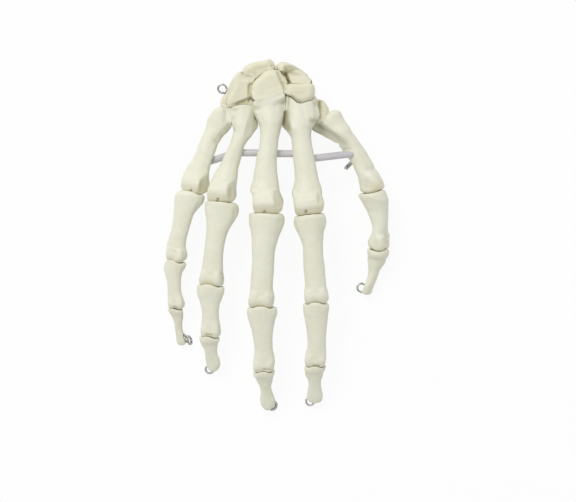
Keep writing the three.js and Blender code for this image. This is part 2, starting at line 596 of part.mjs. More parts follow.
// Wrist bones. Each one is hollowed by those before it, so that they nest with a gap.
const wristWireBore = bore(longer([point(WRIST_WIRE.eye), ...wristRun]));
const wristBores = [
  wristWireBore,
  bore(longer(proximalRowRun)),
  bore(longer(pisiformPinRun)),
  ...Object.keys(ANCHORS).map((finger) => moved(bore(longer(metacarpalRun(finger))), frames[finger].metacarpal, hand)),
];
const floorCut = new THREE.BoxGeometry(TABLE_SPAN, TABLE_SPAN, TABLE_SPAN).translate(0, 0, -TABLE_SPAN / 2);
const placed = [];
for (const [name, shape] of Object.entries(CARPALS)) {
  let body = pebble(shape);
  if (name === "hamate") {
    const { from, to, radius, tipRadius } = HAMATE_HOOK;
    body = join(body, hookBetween(point(from), point(to), radius, tipRadius));
  }
  addMesh(hand, name, cut(body, floorCut, ...placed, ...wristBores), castPlastic);
  placed.push(pebble(shape, JOINT_GAP));
}

// Metacarpals. Each one is hollowed by the wrist bones and by its neighbour.
const NEIGHBOURS = { middle: [], index: ["middle"], ring: ["middle"], little: ["ring"], thumb: ["index"] };
for (const [finger, neighbours] of Object.entries(NEIGHBOURS)) {
  const bone = FINGERS[finger].metacarpal;
  const frame = frames[finger].metacarpal;
  const body = cut(
    join(metacarpalBody(bone), ballHead(bone)),
    ...placed.map((other) => moved(other, hand, frame)),
    ...neighbours.map((other) => metacarpalAround(other, JOINT_GAP, frame)),
    bore(longer(metacarpalRun(finger))),
    moved(crossBore, hand, frame),
    moved(wristWireBore, hand, frame),
    swingSlot(bone, FINGERS[finger].proximal),
  );
  addMesh(frame, `${finger}_metacarpal`, body, castPlastic);
  addMesh(frame, `${finger}_wire_metacarpal`, wire(metacarpalRun(finger)), steelWire);
}

// Phalanges, each with its length of the finger's wire.
for (const [finger, bones] of Object.entries(FINGERS)) {
  const parts = ["metacarpal", "proximal", "middle", "distal"].filter((part) => bones[part]);
  parts.slice(1).forEach((part, i) => {
    const bone = bones[part];
    const before = bones[parts[i]];
    const after = bones[parts[i + 2]];
    const frame = frames[finger][part];
    const headOf = parts[i] === "metacarpal" ? ballHead : pulleyHead;
    const seat = headOf(before, JOINT_GAP).rotateZ(-radians(bone.turn));
    if (after) {
      const body = join(phalanxBody(bone, before.headRadius), pulleyHead(bone).translate(0, -bone.length, 0));
      const run = [new THREE.Vector3(0, 0, 0), new THREE.Vector3(0, -bone.length + WIRE_END, 0)];
      const slot = swingSlot(bone, after).translate(0, -bone.length, 0);
      const bored = cut(body, seat, bore(longer(run)), slot);
      addMesh(frame, `${finger}_${part}_phalanx`, bored, castPlastic);
      addMesh(frame, `${finger}_wire_${part}`, wire(run), steelWire);
    } else {
      const body = distalBody(bone, before.headRadius);
      const { back, side, height, tilt } = bone.eye;
      const towards = Math.sign(side);
      const eyeY = -bone.length + back;
      const start = frame.localToWorld(new THREE.Vector3(side - towards * EYE_RADIUS, eyeY, 0)).setZ(height);
      const exit = frame.worldToLocal(start);
      const up = new THREE.Vector3(0, 0, 1).transformDirection(frame.matrixWorld.clone().invert());
      const arrival = square(up, new THREE.Vector3(0, -1, 0));
      const inward = new THREE.Vector3().crossVectors(up, arrival).multiplyScalar(towards);
      const drift = up.clone().negate().applyAxisAngle(arrival, radians(tilt));
      inward.applyAxisAngle(arrival, radians(tilt));
      const lead = [new THREE.Vector3(0, 0, 0), new THREE.Vector3(0, eyeY + EYE_LEAD, 0), exit.clone().addScaledVector(arrival, -1.5)];
      const points = [...lead, ...eyePoints(exit, arrival, inward, drift)];
      const bored = cut(body, seat, bore(longer(points)));
      addMesh(frame, `${finger}_distal_phalanx`, bored, castPlastic);
      addMesh(frame, `${finger}_wire_tip`, wire(points), steelWire);
    }
  });
}

addMesh(hand, "cross_wire", crossWire, steelWire);
addMesh(hand, "wrist_wire", wristWire, steelWire);
addMesh(hand, "proximal_row_wire", wire(proximalRowRun), steelWire);
addMesh(hand, "pisiform_pin", wire(pisiformPinRun), steelWire);

// Sleeves on the wire between neighbouring metacarpals, each end shaped to the bone that it stands on.
const SLEEVES = {
  sleeve_little_ring: ["outOfLittle", "intoRing", "little", "ring"],
  sleeve_ring_middle: ["outOfRing", "intoMiddle", "ring", "middle"],
  sleeve_middle_index: ["outOfMiddle", "intoIndex", "middle", "index"],
  sleeve_index_thumb: ["outOfIndex", "intoThumb", "index", "thumb"],
};
for (const [name, [from, to, ...bones]] of Object.entries(SLEEVES)) {
  const start = point(CROSS_WIRE[from]);
  const end = point(CROSS_WIRE[to]);
  const past = end.clone().sub(start).setLength(1);
  const tube = cut(
    bar([start, end], SLEEVE_RADIUS, SLEEVE_SIDES),
    bar([start.clone().sub(past), end.clone().add(past)], SLEEVE_BORE, SLEEVE_SIDES),
    ...bones.map((finger) => metacarpalAround(finger, SLEEVE_PLAY, hand)),
  );
  addMesh(hand, name, tube, sleevePlastic);
}

// The origin is on the table under the middle of the hand.
hand.updateMatrixWorld(true);
const bounds = new THREE.Box3().setFromObject(hand, true);
const middle = bounds.getCenter(new THREE.Vector3());
hand.position.set(-middle.x, -middle.y, -bounds.min.z);

export default hand;
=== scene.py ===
# The looks of a teaching model of the skeleton of a right hand, lying palm down on a pale table.
import json
from collections import namedtuple

import bpy
import numpy as np
from mathutils import Matrix, Vector, noise
from mathutils.bvhtree import BVHTree
from mathutils.kdtree import KDTree


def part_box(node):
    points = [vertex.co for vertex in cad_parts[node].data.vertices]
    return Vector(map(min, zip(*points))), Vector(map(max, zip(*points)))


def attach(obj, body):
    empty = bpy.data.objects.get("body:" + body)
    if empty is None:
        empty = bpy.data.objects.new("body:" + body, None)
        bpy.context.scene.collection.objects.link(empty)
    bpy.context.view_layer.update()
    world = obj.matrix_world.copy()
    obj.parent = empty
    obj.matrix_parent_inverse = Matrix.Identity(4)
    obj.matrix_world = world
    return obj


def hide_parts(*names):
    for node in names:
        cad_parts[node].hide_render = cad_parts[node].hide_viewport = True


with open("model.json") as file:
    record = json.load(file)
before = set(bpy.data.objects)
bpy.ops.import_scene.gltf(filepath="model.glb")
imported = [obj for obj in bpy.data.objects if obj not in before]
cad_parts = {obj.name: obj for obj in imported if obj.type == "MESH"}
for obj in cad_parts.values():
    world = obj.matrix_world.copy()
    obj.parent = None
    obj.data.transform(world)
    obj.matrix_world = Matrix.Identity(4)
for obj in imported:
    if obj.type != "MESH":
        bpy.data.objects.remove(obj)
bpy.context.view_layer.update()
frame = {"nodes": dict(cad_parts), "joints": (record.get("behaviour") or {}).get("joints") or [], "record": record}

MM = 0.001
FRAME_PIXELS = (576, 502)
PIXEL = 0.51 * MM  # a pixel of the photograph's frame, on the object
AIM_PIXEL = (FRAME_PIXELS[0] / 2, FRAME_PIXELS[1] / 2)
AIM_HEIGHT = 0.02
JOINTS = {j["name"]: j for j in frame["joints"]}
KNUCKLE = JOINTS["middle_mcp"]["pos_m"]
KNUCKLE_PIXEL = (265.89, 198.75)  # the pixel over the middle knuckle
ORIGIN_PIXEL = (KNUCKLE_PIXEL[0] - KNUCKLE[0] / PIXEL, KNUCKLE_PIXEL[1] + KNUCKLE[1] / PIXEL)
AIM = Vector((
    (AIM_PIXEL[0] - ORIGIN_PIXEL[0]) * PIXEL, (ORIGIN_PIXEL[1] - AIM_PIXEL[1]) * PIXEL, AIM_HEIGHT,
))
DISTANCE = 3.0  # of the camera

# How finely each kind of piece is meshed, in millimetres, and how many rounds smooth it
METACARPAL_MESH = (0.42, 36)
PHALANX_MESH = (0.38, 36)
TIP_MESH = (0.28, 40)
CARPAL_MESH = (0.36, 16)
WIRE_MESH = (0.15, 12)
SLEEVE_MESH = (0.2, 20)

# How far pieces are grown over the solids, in millimetres
CARPAL_GROWTH = 0.2
WIRE_GROWTH = 0.1
SLEEVE_GROWTH = 0.2
EYE_START = (4, 8)  # how far from the last joint a tip's wire starts and ends to get thicker

FINGERS = {"thumb": ["proximal", "distal"]}
for finger in ("index", "middle", "ring", "little"):
    FINGERS[finger] = ["proximal", "middle", "distal"]
CARPALS = ["scaphoid", "lunate", "triquetrum", "pisiform", "trapezium", "trapezoid", "capitate", "hamate"]
SLEEVES = ["sleeve_little_ring", "sleeve_ring_middle", "sleeve_middle_index", "sleeve_index_thumb"]
WIRES = [n for n in frame["nodes"] if "wire" in n or n.endswith("_pin")]
BODY_OF = {n: b for b, ns in frame["record"]["behaviour"]["bodies"].items() for n in ns}

# In these tables places, widths and radii are in pixels of the photograph's frame, and depths in millimetres.

# The outlines of the long bones: rows of (y, left, right)
OUTLINES = {
    "thumb_metacarpal": [
        (113, 328, 341), (117, 324, 343.5), (121, 318, 346), (125, 311.5, 348.7), (129, 311.5, 350.6),
        (133, 317, 353), (137, 325.5, 356.2), (141, 332, 359), (146, 338, 363), (152, 343.5, 367),
        (158, 348, 370.3), (164, 351.8, 373.9), (170, 354.8, 377), (176, 357.7, 380.6), (182, 359, 383.4),
        (187, 360.5, 385),
    ],
    "thumb_proximal_phalanx": [
        (195, 358, 386.8), (200, 360.4, 389), (206, 363.6, 388), (212, 366.8, 387.5), (220, 370.6, 387.6),
        (228, 373, 388), (234, 371.2, 388.6), (240, 368, 389.2), (245, 367.8, 389.8),
    ],
    "thumb_distal_phalanx": [
        (253, 367.3, 389), (258, 367.3, 388), (264, 368, 385), (270, 368, 380.4), (276, 367.5, 378),
        (282, 365.6, 375.8), (288, 363.3, 373.6), (293, 361.8, 372), (296, 362.2, 370.3),
    ],
    "index_metacarpal": [
        (104, 286, 316), (110, 285, 319.2), (116, 283.4, 319.8), (122, 282.2, 316.5), (126, 281.8, 313.8),
        (129, 284.4, 312.2), (132, 287.4, 311.6), (136, 290, 311.2), (140, 291.4, 311.6), (148, 292, 312.9),
        (156, 292.7, 314.5), (164, 293.5, 315.8), (172, 294.5, 317.4), (180, 294.6, 319),
        (186, 293.4, 321.3), (191, 291.8, 322.2), (196, 292, 322), (201, 293.4, 324.2), (206, 293.8, 324.2),
        (211, 294.8, 322.6),
    ],
    "index_proximal_phalanx": [
        (217, 294.6, 325.4), (221, 293.4, 326.5), (226, 293.8, 326), (232, 296.9, 323.9),
        (240, 300.8, 323.2), (248, 302.9, 323.1), (258, 303.1, 323.4), (268, 303.6, 325.2),
        (278, 304.3, 325.8), (286, 305, 326.4), (291, 304.5, 328), (296, 304.1, 329), (300, 304.4, 328.5),
    ],
    "index_middle_phalanx": [
        (308, 303, 329.4), (312, 302.9, 328.8), (318, 304.4, 328), (326, 305.7, 327.1), (334, 307, 326.1),
        (342, 307.6, 325.9), (350, 307, 326.1), (356, 305, 326.4), (361, 304.3, 326.2), (365, 305.2, 325),
    ],
    "index_distal_phalanx": [
        (370, 303.9, 325), (374, 304.2, 324), (380, 307.9, 321.2), (386, 308.4, 321), (391, 307, 322.3),
        (396, 306.6, 322.8), (400, 307.4, 322.4), (403, 309.4, 321),
    ],
    "middle_metacarpal": [
        (104, 252, 286.4), (108, 251.5, 286), (112, 252.2, 285.3), (116, 254.5, 284.5), (120, 256.8, 283.4),
        (126, 259.2, 282.2), (132, 259.9, 280.8), (140, 259.6, 278.6), (148, 258.7, 277.8),
        (156, 256.6, 277), (164, 255.6, 276.8), (172, 254, 277.2), (180, 252.9, 278.3), (185, 250.8, 279.2),
        (190, 249.6, 279.8), (195, 252.2, 281.4), (200, 253, 283.6), (204, 253, 283.5), (209, 254, 281.8),
    ],
    "middle_proximal_phalanx": [
        (215, 249.2, 284), (219, 248.6, 284.8), (224, 248.8, 284.5), (230, 250.4, 282.4),
        (236, 251.5, 279.4), (244, 251.5, 276.7), (252, 251.9, 274.9), (260, 252.4, 274.4),
        (270, 251.6, 273.9), (280, 250.8, 273.2), (289, 250.4, 272.8), (295, 249.2, 274.6),
        (300, 248.2, 274.5), (305, 248.4, 273.2),
    ],
    "middle_middle_phalanx": [
        (310, 247.4, 277), (314, 246.5, 277.3), (320, 247.9, 275.6), (328, 250.8, 273.7),
        (336, 252.7, 272.5), (344, 253.9, 272.6), (350, 254.7, 273), (356, 253.8, 274.5),
        (361, 252.8, 275.2), (366, 253.2, 274.2),
    ],
    "middle_distal_phalanx": [
        (373, 253.4, 274.4), (376, 252.9, 274.2), (381, 256.4, 272.8), (387, 260, 271), (392, 260.6, 272.6),
        (396, 260.4, 274), (400, 260.2, 275.2), (404, 260.6, 275.2), (407, 261.8, 273.6), (409, 264, 271),
    ],
    "ring_metacarpal": [
        (109, 230.8, 257), (115, 230.8, 256.8), (121, 231, 258), (127, 232.6, 258.2), (132, 233.8, 254.4),
        (136, 232, 252.3), (140, 231, 248.6), (146, 228.6, 244.6), (153, 224.9, 242.5), (160, 221.5, 240.8),
        (167, 218.6, 238.7), (174, 213.8, 237.8), (181, 210.6, 237.3), (188, 208.6, 236.4),
        (194, 207.7, 236.8), (199, 208.4, 236),
    ],
    "ring_proximal_phalanx": [
        (205, 205, 237.8), (209, 204.4, 239.2), (214, 205.2, 238.8), (220, 206.4, 235.7),
        (226, 206.5, 231.4), (234, 206, 227.4), (242, 205.3, 225.3), (250, 204, 223.8), (260, 203.1, 223),
        (268, 201.7, 222.9), (275, 200.1, 223.8), (280, 198.9, 224.5), (284, 199.4, 224),
    ],
    "ring_middle_phalanx": [
        (289, 196.8, 224.4), (293, 196.3, 224.9), (298, 198.5, 222.8), (304, 200.4, 220.2),
        (311, 202, 218.6), (319, 201.9, 219), (325, 201.2, 220.4), (330, 200.4, 221.2), (334, 200.8, 221),
    ],
    "ring_distal_phalanx": [
        (340, 199.2, 220.4), (343, 199.6, 218.8), (348, 203.7, 217.4), (354, 205.2, 217.6),
        (359, 205.4, 219.8), (364, 206.3, 220.7), (368, 207.4, 219.6), (371, 209, 217),
    ],
    "little_metacarpal": [
        (113, 211.6, 231.6), (118, 207.6, 231.7), (124, 206.4, 232), (128, 205.4, 231.4), (132, 203.8, 228),
        (136, 201.7, 224), (140, 200, 221.3), (144, 198.3, 218.4), (152, 195.7, 215.6), (160, 191.7, 212.8),
        (167, 186.5, 210.2), (173, 183, 209.3), (179, 181.8, 209.4), (185, 181.2, 210), (190, 182.4, 208.8),
    ],
    "little_proximal_phalanx": [
        (194, 175, 204.6), (198, 174.5, 205), (203, 174.4, 204), (208, 174, 199.7), (214, 173.4, 194.6),
        (222, 172.2, 191.4), (230, 171.1, 189.2), (238, 168.6, 186.8), (246, 166.8, 185.7),
        (253, 165.9, 187.5), (258, 165.8, 187.4),
    ],
    "little_middle_phalanx": [
        (264, 164.8, 186.4), (268, 163.3, 185.6), (273, 164.4, 182.4), (279, 166.4, 181.3),
        (286, 167.6, 181), (293, 167.8, 181.4), (299, 167.9, 184), (303, 167.9, 185.4), (307, 168.2, 184.6),
    ],
    "little_distal_phalanx": [
        (312, 168.4, 183.5), (316, 171, 183.4), (321, 173.5, 182.4), (327, 174.6, 182.5),
        (332, 175.4, 183.4), (337, 176, 184.4), (341, 176.2, 185), (344, 177, 186), (345, 178, 185),
    ],
}

# Edges that lie nearer to the wrist than in the solids: the place, its radius and how far it moves
TUGS = {"trapezoid": ((292, 99), 6, 2.8), "index_metacarpal": ((291, 100), 5, 2.6)}
# Tips that reach further than the solids: where that starts, and how far it goes
STRETCH = {
    "little_distal_phalanx": (330, 3.2),
    "middle_distal_phalanx": (396, 2.8),
    "index_distal_phalanx": (392, 0.8),
}
# Eyes of thicker wire: their centre, their reach and how much thicker they are in millimetres
THICK_EYES = {"middle_wire_tip": ((274, 405), 6.5, 0.3), "little_wire_tip": ((188.5, 339.5), 6.5, 0.08)}

# Flat facets: two points, a slope, the largest depth and how soft the edge is, in millimetres. Each falls
# away to the right of the way from its first point to its second, or to the left where its slope is below 0.
FACETS = {
    "middle_metacarpal": [
        ((275, 208), (272.5, 192), 1.5, 3.6, 0.4), ((280.5, 126), (285.5, 96), 0.9, 3, 0.4),
    ],
    "index_metacarpal": [((318, 208), (317, 186), 0.8, 2.4, 0.4), ((290.5, 134), (290, 112), -1.5, 4, 0.4)],
    "ring_metacarpal": [((228.5, 201), (227, 184), 1.3, 3, 0.5), ((243, 138), (250, 112), 0.95, 4.4, 0.6)],
    "little_metacarpal": [((199, 194), (200, 176), 1.15, 3.2, 0.4), ((214, 140), (226, 124), 0.6, 3, 0.8)],
    "thumb_metacarpal": [((352, 147), (316, 119.5), -0.95, 5, 1)],
    "ring_proximal_phalanx": [((231, 224), (234, 206), 0.8, 2, 0.5)],
    "little_proximal_phalanx": [
        ((193, 214), (199, 198), 0.8, 2, 0.5), ((182, 260), (181, 248), 0.7, 1.6, 0.5),
    ],
    "hamate": [((252, 97), (229, 105), -0.35, 2, 0.4), ((248.5, 100), (248, 80), 0.55, 1.4, 0.5)],
    "capitate": [((284, 90), (275, 70), 0.4, 2, 0.4)],
    "scaphoid": [((287, 88), (283, 64), 0.28, 4, 0.6)],
    "trapezium": [((319, 121), (318, 101), 0.5, 3, 0.6)],
}
CUT_FIRST = ["scaphoid"]  # cut before the seams are filled, so that the next piece goes on from the facet

# Hollows and swellings: points along each, its half width and its depth, below 0 for a swelling
RELIEF = {
    "middle_metacarpal": [
        ([(250, 189), (250, 190)], 2.5, -0.3), ([(261, 195), (264, 197.5), (268, 199.5)], 0.9, 0.14),
        ([(257, 206), (278, 203)], 3, -0.2), ([(260, 103), (262, 118)], 2.6, 0.25),
        ([(264.5, 211.5), (264.5, 213)], 0.9, 1.6),
    ],
    "index_metacarpal": [
        ([(293, 192), (293, 193)], 2.5, -0.3), ([(297, 197), (308, 198)], 1.2, 0.14),
        ([(298, 209), (318, 206)], 3, -0.2), ([(290, 97), (293, 112), (298, 122)], 2, -0.3),
        ([(302, 106), (304, 118)], 3, 0.4), ([(316, 104), (317.5, 116)], 2.6, 0.8),
        ([(306, 211), (306, 213)], 0.9, 1.6),
    ],
    "ring_metacarpal": [
        ([(241, 106), (241, 118), (240, 128)], 2.4, -0.3), ([(233, 118), (232, 128)], 2, 0.6),
        ([(218, 199), (218, 201)], 0.9, 1.5), ([(231, 190), (231.5, 194)], 2.4, 0.5),
    ],
    "little_metacarpal": [
        ([(197, 184), (196, 192)], 1.8, -0.3), ([(212, 114), (220, 113)], 3, -0.3),
        ([(191, 190), (191, 192)], 0.8, 1.3),
    ],
    "thumb_metacarpal": [
        ([(333, 121), (346, 134), (358, 152)], 3.4, -0.3), ([(372, 180), (378, 184)], 3.4, -0.3),
    ],
    "thumb_proximal_phalanx": [([(372, 198), (384, 202)], 3, -0.3), ([(386, 236), (386, 243)], 2, 0.4)],
    "middle_proximal_phalanx": [([(281, 222), (277, 236)], 4, 0.5), ([(271, 294), (272, 301)], 2.4, 0.5)],
    "index_proximal_phalanx": [([(322, 222), (321, 240)], 3.4, 0.4), ([(326, 292), (326, 299)], 2, 0.4)],
    "ring_proximal_phalanx": [([(222, 274), (223, 282)], 2.6, 0.8)],
    "little_middle_phalanx": [([(174.5, 307.5), (176.5, 308)], 1.2, 1)],
    "ring_middle_phalanx": [([(207, 335), (212, 335.5)], 1.2, 0.9)],
    "middle_middle_phalanx": [([(264, 369.5), (270, 370)], 1.2, 0.9)],
    "index_middle_phalanx": [([(314, 366), (319, 366)], 1.2, 0.9)],
    "scaphoid": [([(283.5, 73), (287.2, 77.2), (290, 82.5)], 1.2, 2.2)],
    "lunate": [([(246, 69), (256, 65), (269, 61.5)], 2.2, -0.3), ([(272, 66), (274, 68)], 1.4, 0.6)],
    "hamate": [([(238, 82), (234, 94)], 4, -0.3), ([(246, 76.3), (258, 77)], 0.8, 0.35)],
    "triquetrum": [([(226, 96), (223, 103)], 2.4, -0.3), ([(243, 73), (246, 75)], 1.6, 0.5)],
    "trapezium": [([(318, 103), (318.5, 117)], 2, 0.8), ([(323, 104), (325, 114)], 2.2, -0.3)],
}

# Seams that hardly show: the pieces beside each, points along it, half the width of the filled strip, the
# share of its groove that is filled and, where the filled surface has a bend, how far across that lies
SEAMS = [
    (["triquetrum", "hamate"], [(241.5, 75), (232, 85), (226.8, 105)], 5, 1),
    (["scaphoid", "trapezoid"], [(291, 84), (309, 83.5)], 12, 1, 6.8),
    (["lunate", "hamate"], [(245, 74), (255, 77)], 5, 1),
    (["lunate", "capitate"], [(259, 73), (265, 71), (272, 69.8)], 4, 0.55),
    (["capitate", "middle_metacarpal", "trapezoid"], [(255, 100), (263, 98.6), (272, 96), (284.5, 91.5)],
     10, 1, 0),
    (["ring_metacarpal", "little_metacarpal"], [(231, 110), (231.5, 123)], 8, 1),
    (["hamate", "capitate"], [(249.5, 82), (249, 99)], 3, 0.3),
    (["hamate", "ring_metacarpal"], [(230, 107), (252, 103.5)], 3.5, 0.6),
    (["middle_metacarpal", "index_metacarpal"], [(286.8, 97), (285.6, 110)], 2.6, 0.5),
    (["triquetrum", "little_metacarpal"], [(222, 107), (227, 108)], 4, 1),
]
SEAM_OVERLAP = 0.1  # how far two pieces are grown into each other at such a seam, in millimetres
SEAM_UNIT = 12  # the unit of length that the surface over a seam is fitted in
SEAM_BESIDE = 7  # how wide a strip beside a filled seam gives its height

# Recesses with painted shade, where shade falls between and under pieces: points along each, its half width and
# how dark it is
SHADED_RECESSES = {
    "index_metacarpal": [
        ([(286.5, 113), (285.5, 121), (288, 129)], 3.2, 1), ([(311, 120), (318, 121)], 2.6, 0.7),
    ],
    "middle_metacarpal": [([(284.5, 112), (283, 124)], 1.4, 0.6), ([(254, 114), (258.5, 126)], 1.6, 0.5)],
    "ring_metacarpal": [([(253, 110), (254, 130)], 2.4, 0.2), ([(234, 124), (234.5, 130)], 1.6, 0.3)],
    "little_metacarpal": [([(228, 126), (221, 135)], 2.4, 0.15)],
    "thumb_metacarpal": [([(318, 128), (345, 143)], 4, 0.25)],
    "hamate": [([(250, 82), (249.5, 98)], 1.5, 0.25), ([(247, 74), (258, 75)], 2.4, 0.25)],
    "trapezoid": [([(292, 97.5), (300, 101.5)], 1.6, 0.6)],
    "lunate": [([(246, 73), (256, 73), (266, 69)], 2.4, 0.25)],
    "scaphoid": [([(282, 72), (287.2, 77.2), (290, 83)], 1.4, 1.6)],
}
for table in (RELIEF, SHADED_RECESSES):
    table["capitate"] = table["scaphoid"]  # the crescent hollow crosses both


def add_object(name, data):
    made = bpy.data.objects.new(name, data)
    bpy.context.scene.collection.objects.link(made)
    return made


# Materials
def put(tree, socket, value):
    """Sets an input, or links it where the value is another node's output."""
    if isinstance(value, bpy.types.NodeSocket):
        tree.links.new(value, socket)
    else:
        socket.default_value = value


def node(tree, kind, *inputs, **values):
    """A shader node with these inputs in order. Values set the property or the input of their name."""
    made = tree.nodes.new(kind)
    for socket, value in zip(made.inputs, inputs):
        put(tree, socket, value)
    for key, value in values.items():
        if hasattr(made, key):
            setattr(made, key, value)
        else:
            put(tree, made.inputs[key.replace("_", " ")], value)
    return made


def material(name, surface, *values):
    """A material with the shader that a function of its nodes makes."""
    made = bpy.data.materials.new(name)
    made.use_nodes = True
    made.node_tree.nodes.clear()
    node(made.node_tree, "ShaderNodeOutputMaterial", surface(made.node_tree, *values).outputs[0])
    return made


def grain(tree, scale, detail, stretch=None):
    """Noise fixed to the piece, in its own coordinates. Scale is in waves for each metre."""
    source = node(tree, "ShaderNodeTexCoord").outputs["Object"]
    if stretch:
        source = node(tree, "ShaderNodeMapping", source, Scale=stretch).outputs[0]
    return node(tree, "ShaderNodeTexNoise", source, Scale=scale, Detail=detail, Roughness=0.6).outputs["Fac"]


def ramp(tree, source, stops):
    made = node(tree, "ShaderNodeValToRGB", source)
    for element, (at, colour) in zip(made.color_ramp.elements, stops):
        element.position = at
        element.color = (*colour, 1)
    return made.outputs[0]


def blend_colours(tree, share, first, second):
    made = node(tree, "ShaderNodeMix", data_type="RGBA")
    for socket, value in zip((made.inputs[0], *made.inputs[6:8]), (share, first, second)):
        put(tree, socket, (*value, 1) if isinstance(value, tuple) else value)
    return made.outputs[2]


def scaled(tree, source, low, high, start=0.0, end=1.0):
    """A value from low to high, as the source goes from start to end."""
    return node(tree, "ShaderNodeMapRange", source, start, end, low, high).outputs[0]


def bumps(tree, *layers, strength=0.5, stretch=None):
    """Bumps from layers of noise, each with its scale, its detail and its height in millimetres."""
    below = {}
    for scale, detail, height in layers:
        source = grain(tree, scale, detail, stretch)
        made = node(tree, "ShaderNodeBump", strength, height * MM, Height=source, **below)
        below = {"Normal": made.outputs[0]}
    return made.outputs[0]


def srgb(r, g, b):
    """A colour in linear light, from the values of the screen."""
    shares = (r / 255, g / 255, b / 255)
    return tuple(c / 12.92 if c <= 0.04045 else ((c + 0.055) / 1.055) ** 2.4 for c in shares)


IVORY = srgb(235, 235, 218)
IVORY_WARM = srgb(232, 231, 210)
IVORY_DEEP = srgb(222, 219, 192)
IVORY_TAN = srgb(235, 228, 198)
WRIST_IVORY = srgb(232, 230, 208)
WRIST_WARM = srgb(228, 224, 196)
WRIST_DEEP = srgb(214, 208, 174)
PAINTED_SHADE_OLIVE = srgb(158, 150, 108)
STEEL = srgb(206, 205, 202)
STEEL_DARK = srgb(150, 148, 145)
CLOUDY = srgb(228, 226, 229)
CLOUDY_DARK = srgb(208, 206, 209)


def cast_plastic(tree, light, warm, deep, groove):
    """Three ivory tones, warmer near the joints. Groove is how dark the painted shade in the hollows gets."""
    cloud = ramp(tree, grain(tree, 70, 4), [(0.3, warm), (0.65, light)])
    colour = blend_colours(tree, scaled(tree, grain(tree, 420, 5), 0.0, 0.3, 0.45, 0.75), cloud, deep)
    ends = node(tree, "ShaderNodeAttribute", attribute_name="ends")
    colour = blend_colours(tree, ends.outputs["Fac"], colour, IVORY_TAN)
    # painted shade: olive in the hollows and in the shaded recesses, where shade falls
    hollow_shade = node(tree, "ShaderNodeAttribute", attribute_name="hollow_shade")
    colour = blend_colours(tree, scaled(tree, hollow_shade.outputs["Fac"], 0.0, groove), colour, PAINTED_SHADE_OLIVE)
    return node(
        tree, "ShaderNodeBsdfPrincipled", colour,
        Roughness=scaled(tree, grain(tree, 260, 4), 0.42, 0.62, 0.3, 0.7),
        Subsurface_Weight=0.12,
        Subsurface_Radius=(1.0, 0.85, 0.6),
        Subsurface_Scale=1.4 * MM,
        Specular_IOR_Level=0.42,
        Normal=bumps(tree, (230, 3, 0.12), (1100, 4, 0.03), (3800, 2, 0.008)),
    )


def steel(tree):
    return node(
        tree, "ShaderNodeBsdfPrincipled",
        ramp(tree, grain(tree, 500, 4), [(0.35, STEEL_DARK), (0.6, STEEL)]),
        Metallic=1.0,
        Roughness=scaled(tree, grain(tree, 900, 4), 0.24, 0.42, 0.3, 0.7),
        Normal=bumps(tree, (4000, 2, 0.01), strength=0.6, stretch=(1, 1, 0.2)),
    )


def cloudy_plastic(tree):
    return node(
        tree, "ShaderNodeBsdfPrincipled",
        ramp(tree, grain(tree, 300, 4, (0.15, 1, 1)), [(0.3, CLOUDY_DARK), (0.7, CLOUDY)]),
        Transmission_Weight=0.15,
        IOR=1.45,
        Roughness=scaled(tree, grain(tree, 700, 3, (0.2, 1, 1)), 0.22, 0.36, 0.3, 0.7),
        Normal=bumps(tree, (1500, 3, 0.03), stretch=(0.1, 1, 1)),
    )


BONE = material("cast_plastic", cast_plastic, IVORY, IVORY_WARM, IVORY_DEEP, 0.7)
WRIST_BONE = material("cast_plastic_wrist", cast_plastic, WRIST_IVORY, WRIST_WARM, WRIST_DEEP, 0.85)
STEEL_WIRE = material("steel_wire", steel)
SLEEVE = material("sleeve_plastic", cloudy_plastic)


# Mesh work. Points are numpy arrays in millimetres while they are shaped.
def read(items, name, width, kind=float):
    values = np.empty(len(items) * width, kind)
    items.foreach_get(name, values)
    return values.reshape(-1, width)


class Skin:
    """A piece's surface while it is being shaped."""

    def __init__(self, mesh):
        self.mesh = mesh
        self.points = read(mesh.vertices, "co", 3)
        self.edges = read(mesh.edges, "vertices", 2, np.int64)
        self.degree = np.bincount(self.edges.ravel(), minlength=len(self.points))

    def spread(self, values):
        """The mean of a value over each point's neighbours."""
        a, b = self.edges.T
        count = len(self.degree)
        if values.ndim == 1:
            total = np.bincount(a, values[b], count) + np.bincount(b, values[a], count)
            return total / self.degree
        return np.stack([self.spread(values[:, k]) for k in range(values.shape[1])], 1)

    def softened(self, values, rounds):
        for _ in range(rounds):
            values = 0.5 * (values + self.spread(values))
        return values

    def relax(self, rounds, weight=1.0):
        """Smooths the surface and brings back the size that this costs."""
        weight = np.broadcast_to(np.asarray(weight, float), len(self.points))[:, None]
        soft = self.softened(self.points, rounds)
        soft += self.softened(self.points - soft, rounds)
        self.points += weight * (soft - self.points)

    def store(self):
        self.mesh.vertices.foreach_set("co", self.points.astype(np.float32).ravel())
        self.mesh.update()

    def normals(self):
        self.store()
        return read(self.mesh.vertex_normals, "vector", 3)


def even_mesh(name, voxel):
    """A copy of a CAD node's surface in even faces, in millimetres."""
    copy = frame["nodes"][name].data.copy()
    copy.transform(Matrix.Scale(1 / MM, 4))
    temporary = add_object("temporary", copy)
    weld = temporary.modifiers.new("weld", "WELD")
    weld.merge_threshold = 0.001
    remesh = temporary.modifiers.new("remesh", "REMESH")
    remesh.mode = "VOXEL"
    remesh.voxel_size = voxel
    graph = bpy.context.evaluated_depsgraph_get()
    made = bpy.data.meshes.new_from_object(temporary.evaluated_get(graph))
    bpy.data.objects.remove(temporary)
    bpy.data.meshes.remove(copy)
    return made


def smoothstep(x, low, high):
    """A smooth way from 0 at low to 1 at high."""
    t = np.clip((x - low) / (high - low), 0, 1)
    return t * t * (3 - 2 * t)


def noise_at(points, scale, seed):
    offset = Vector((seed * 17.3, seed * 5.1, seed * 9.7))
    return np.array([noise.noise(Vector(p) * scale + offset) for p in points])


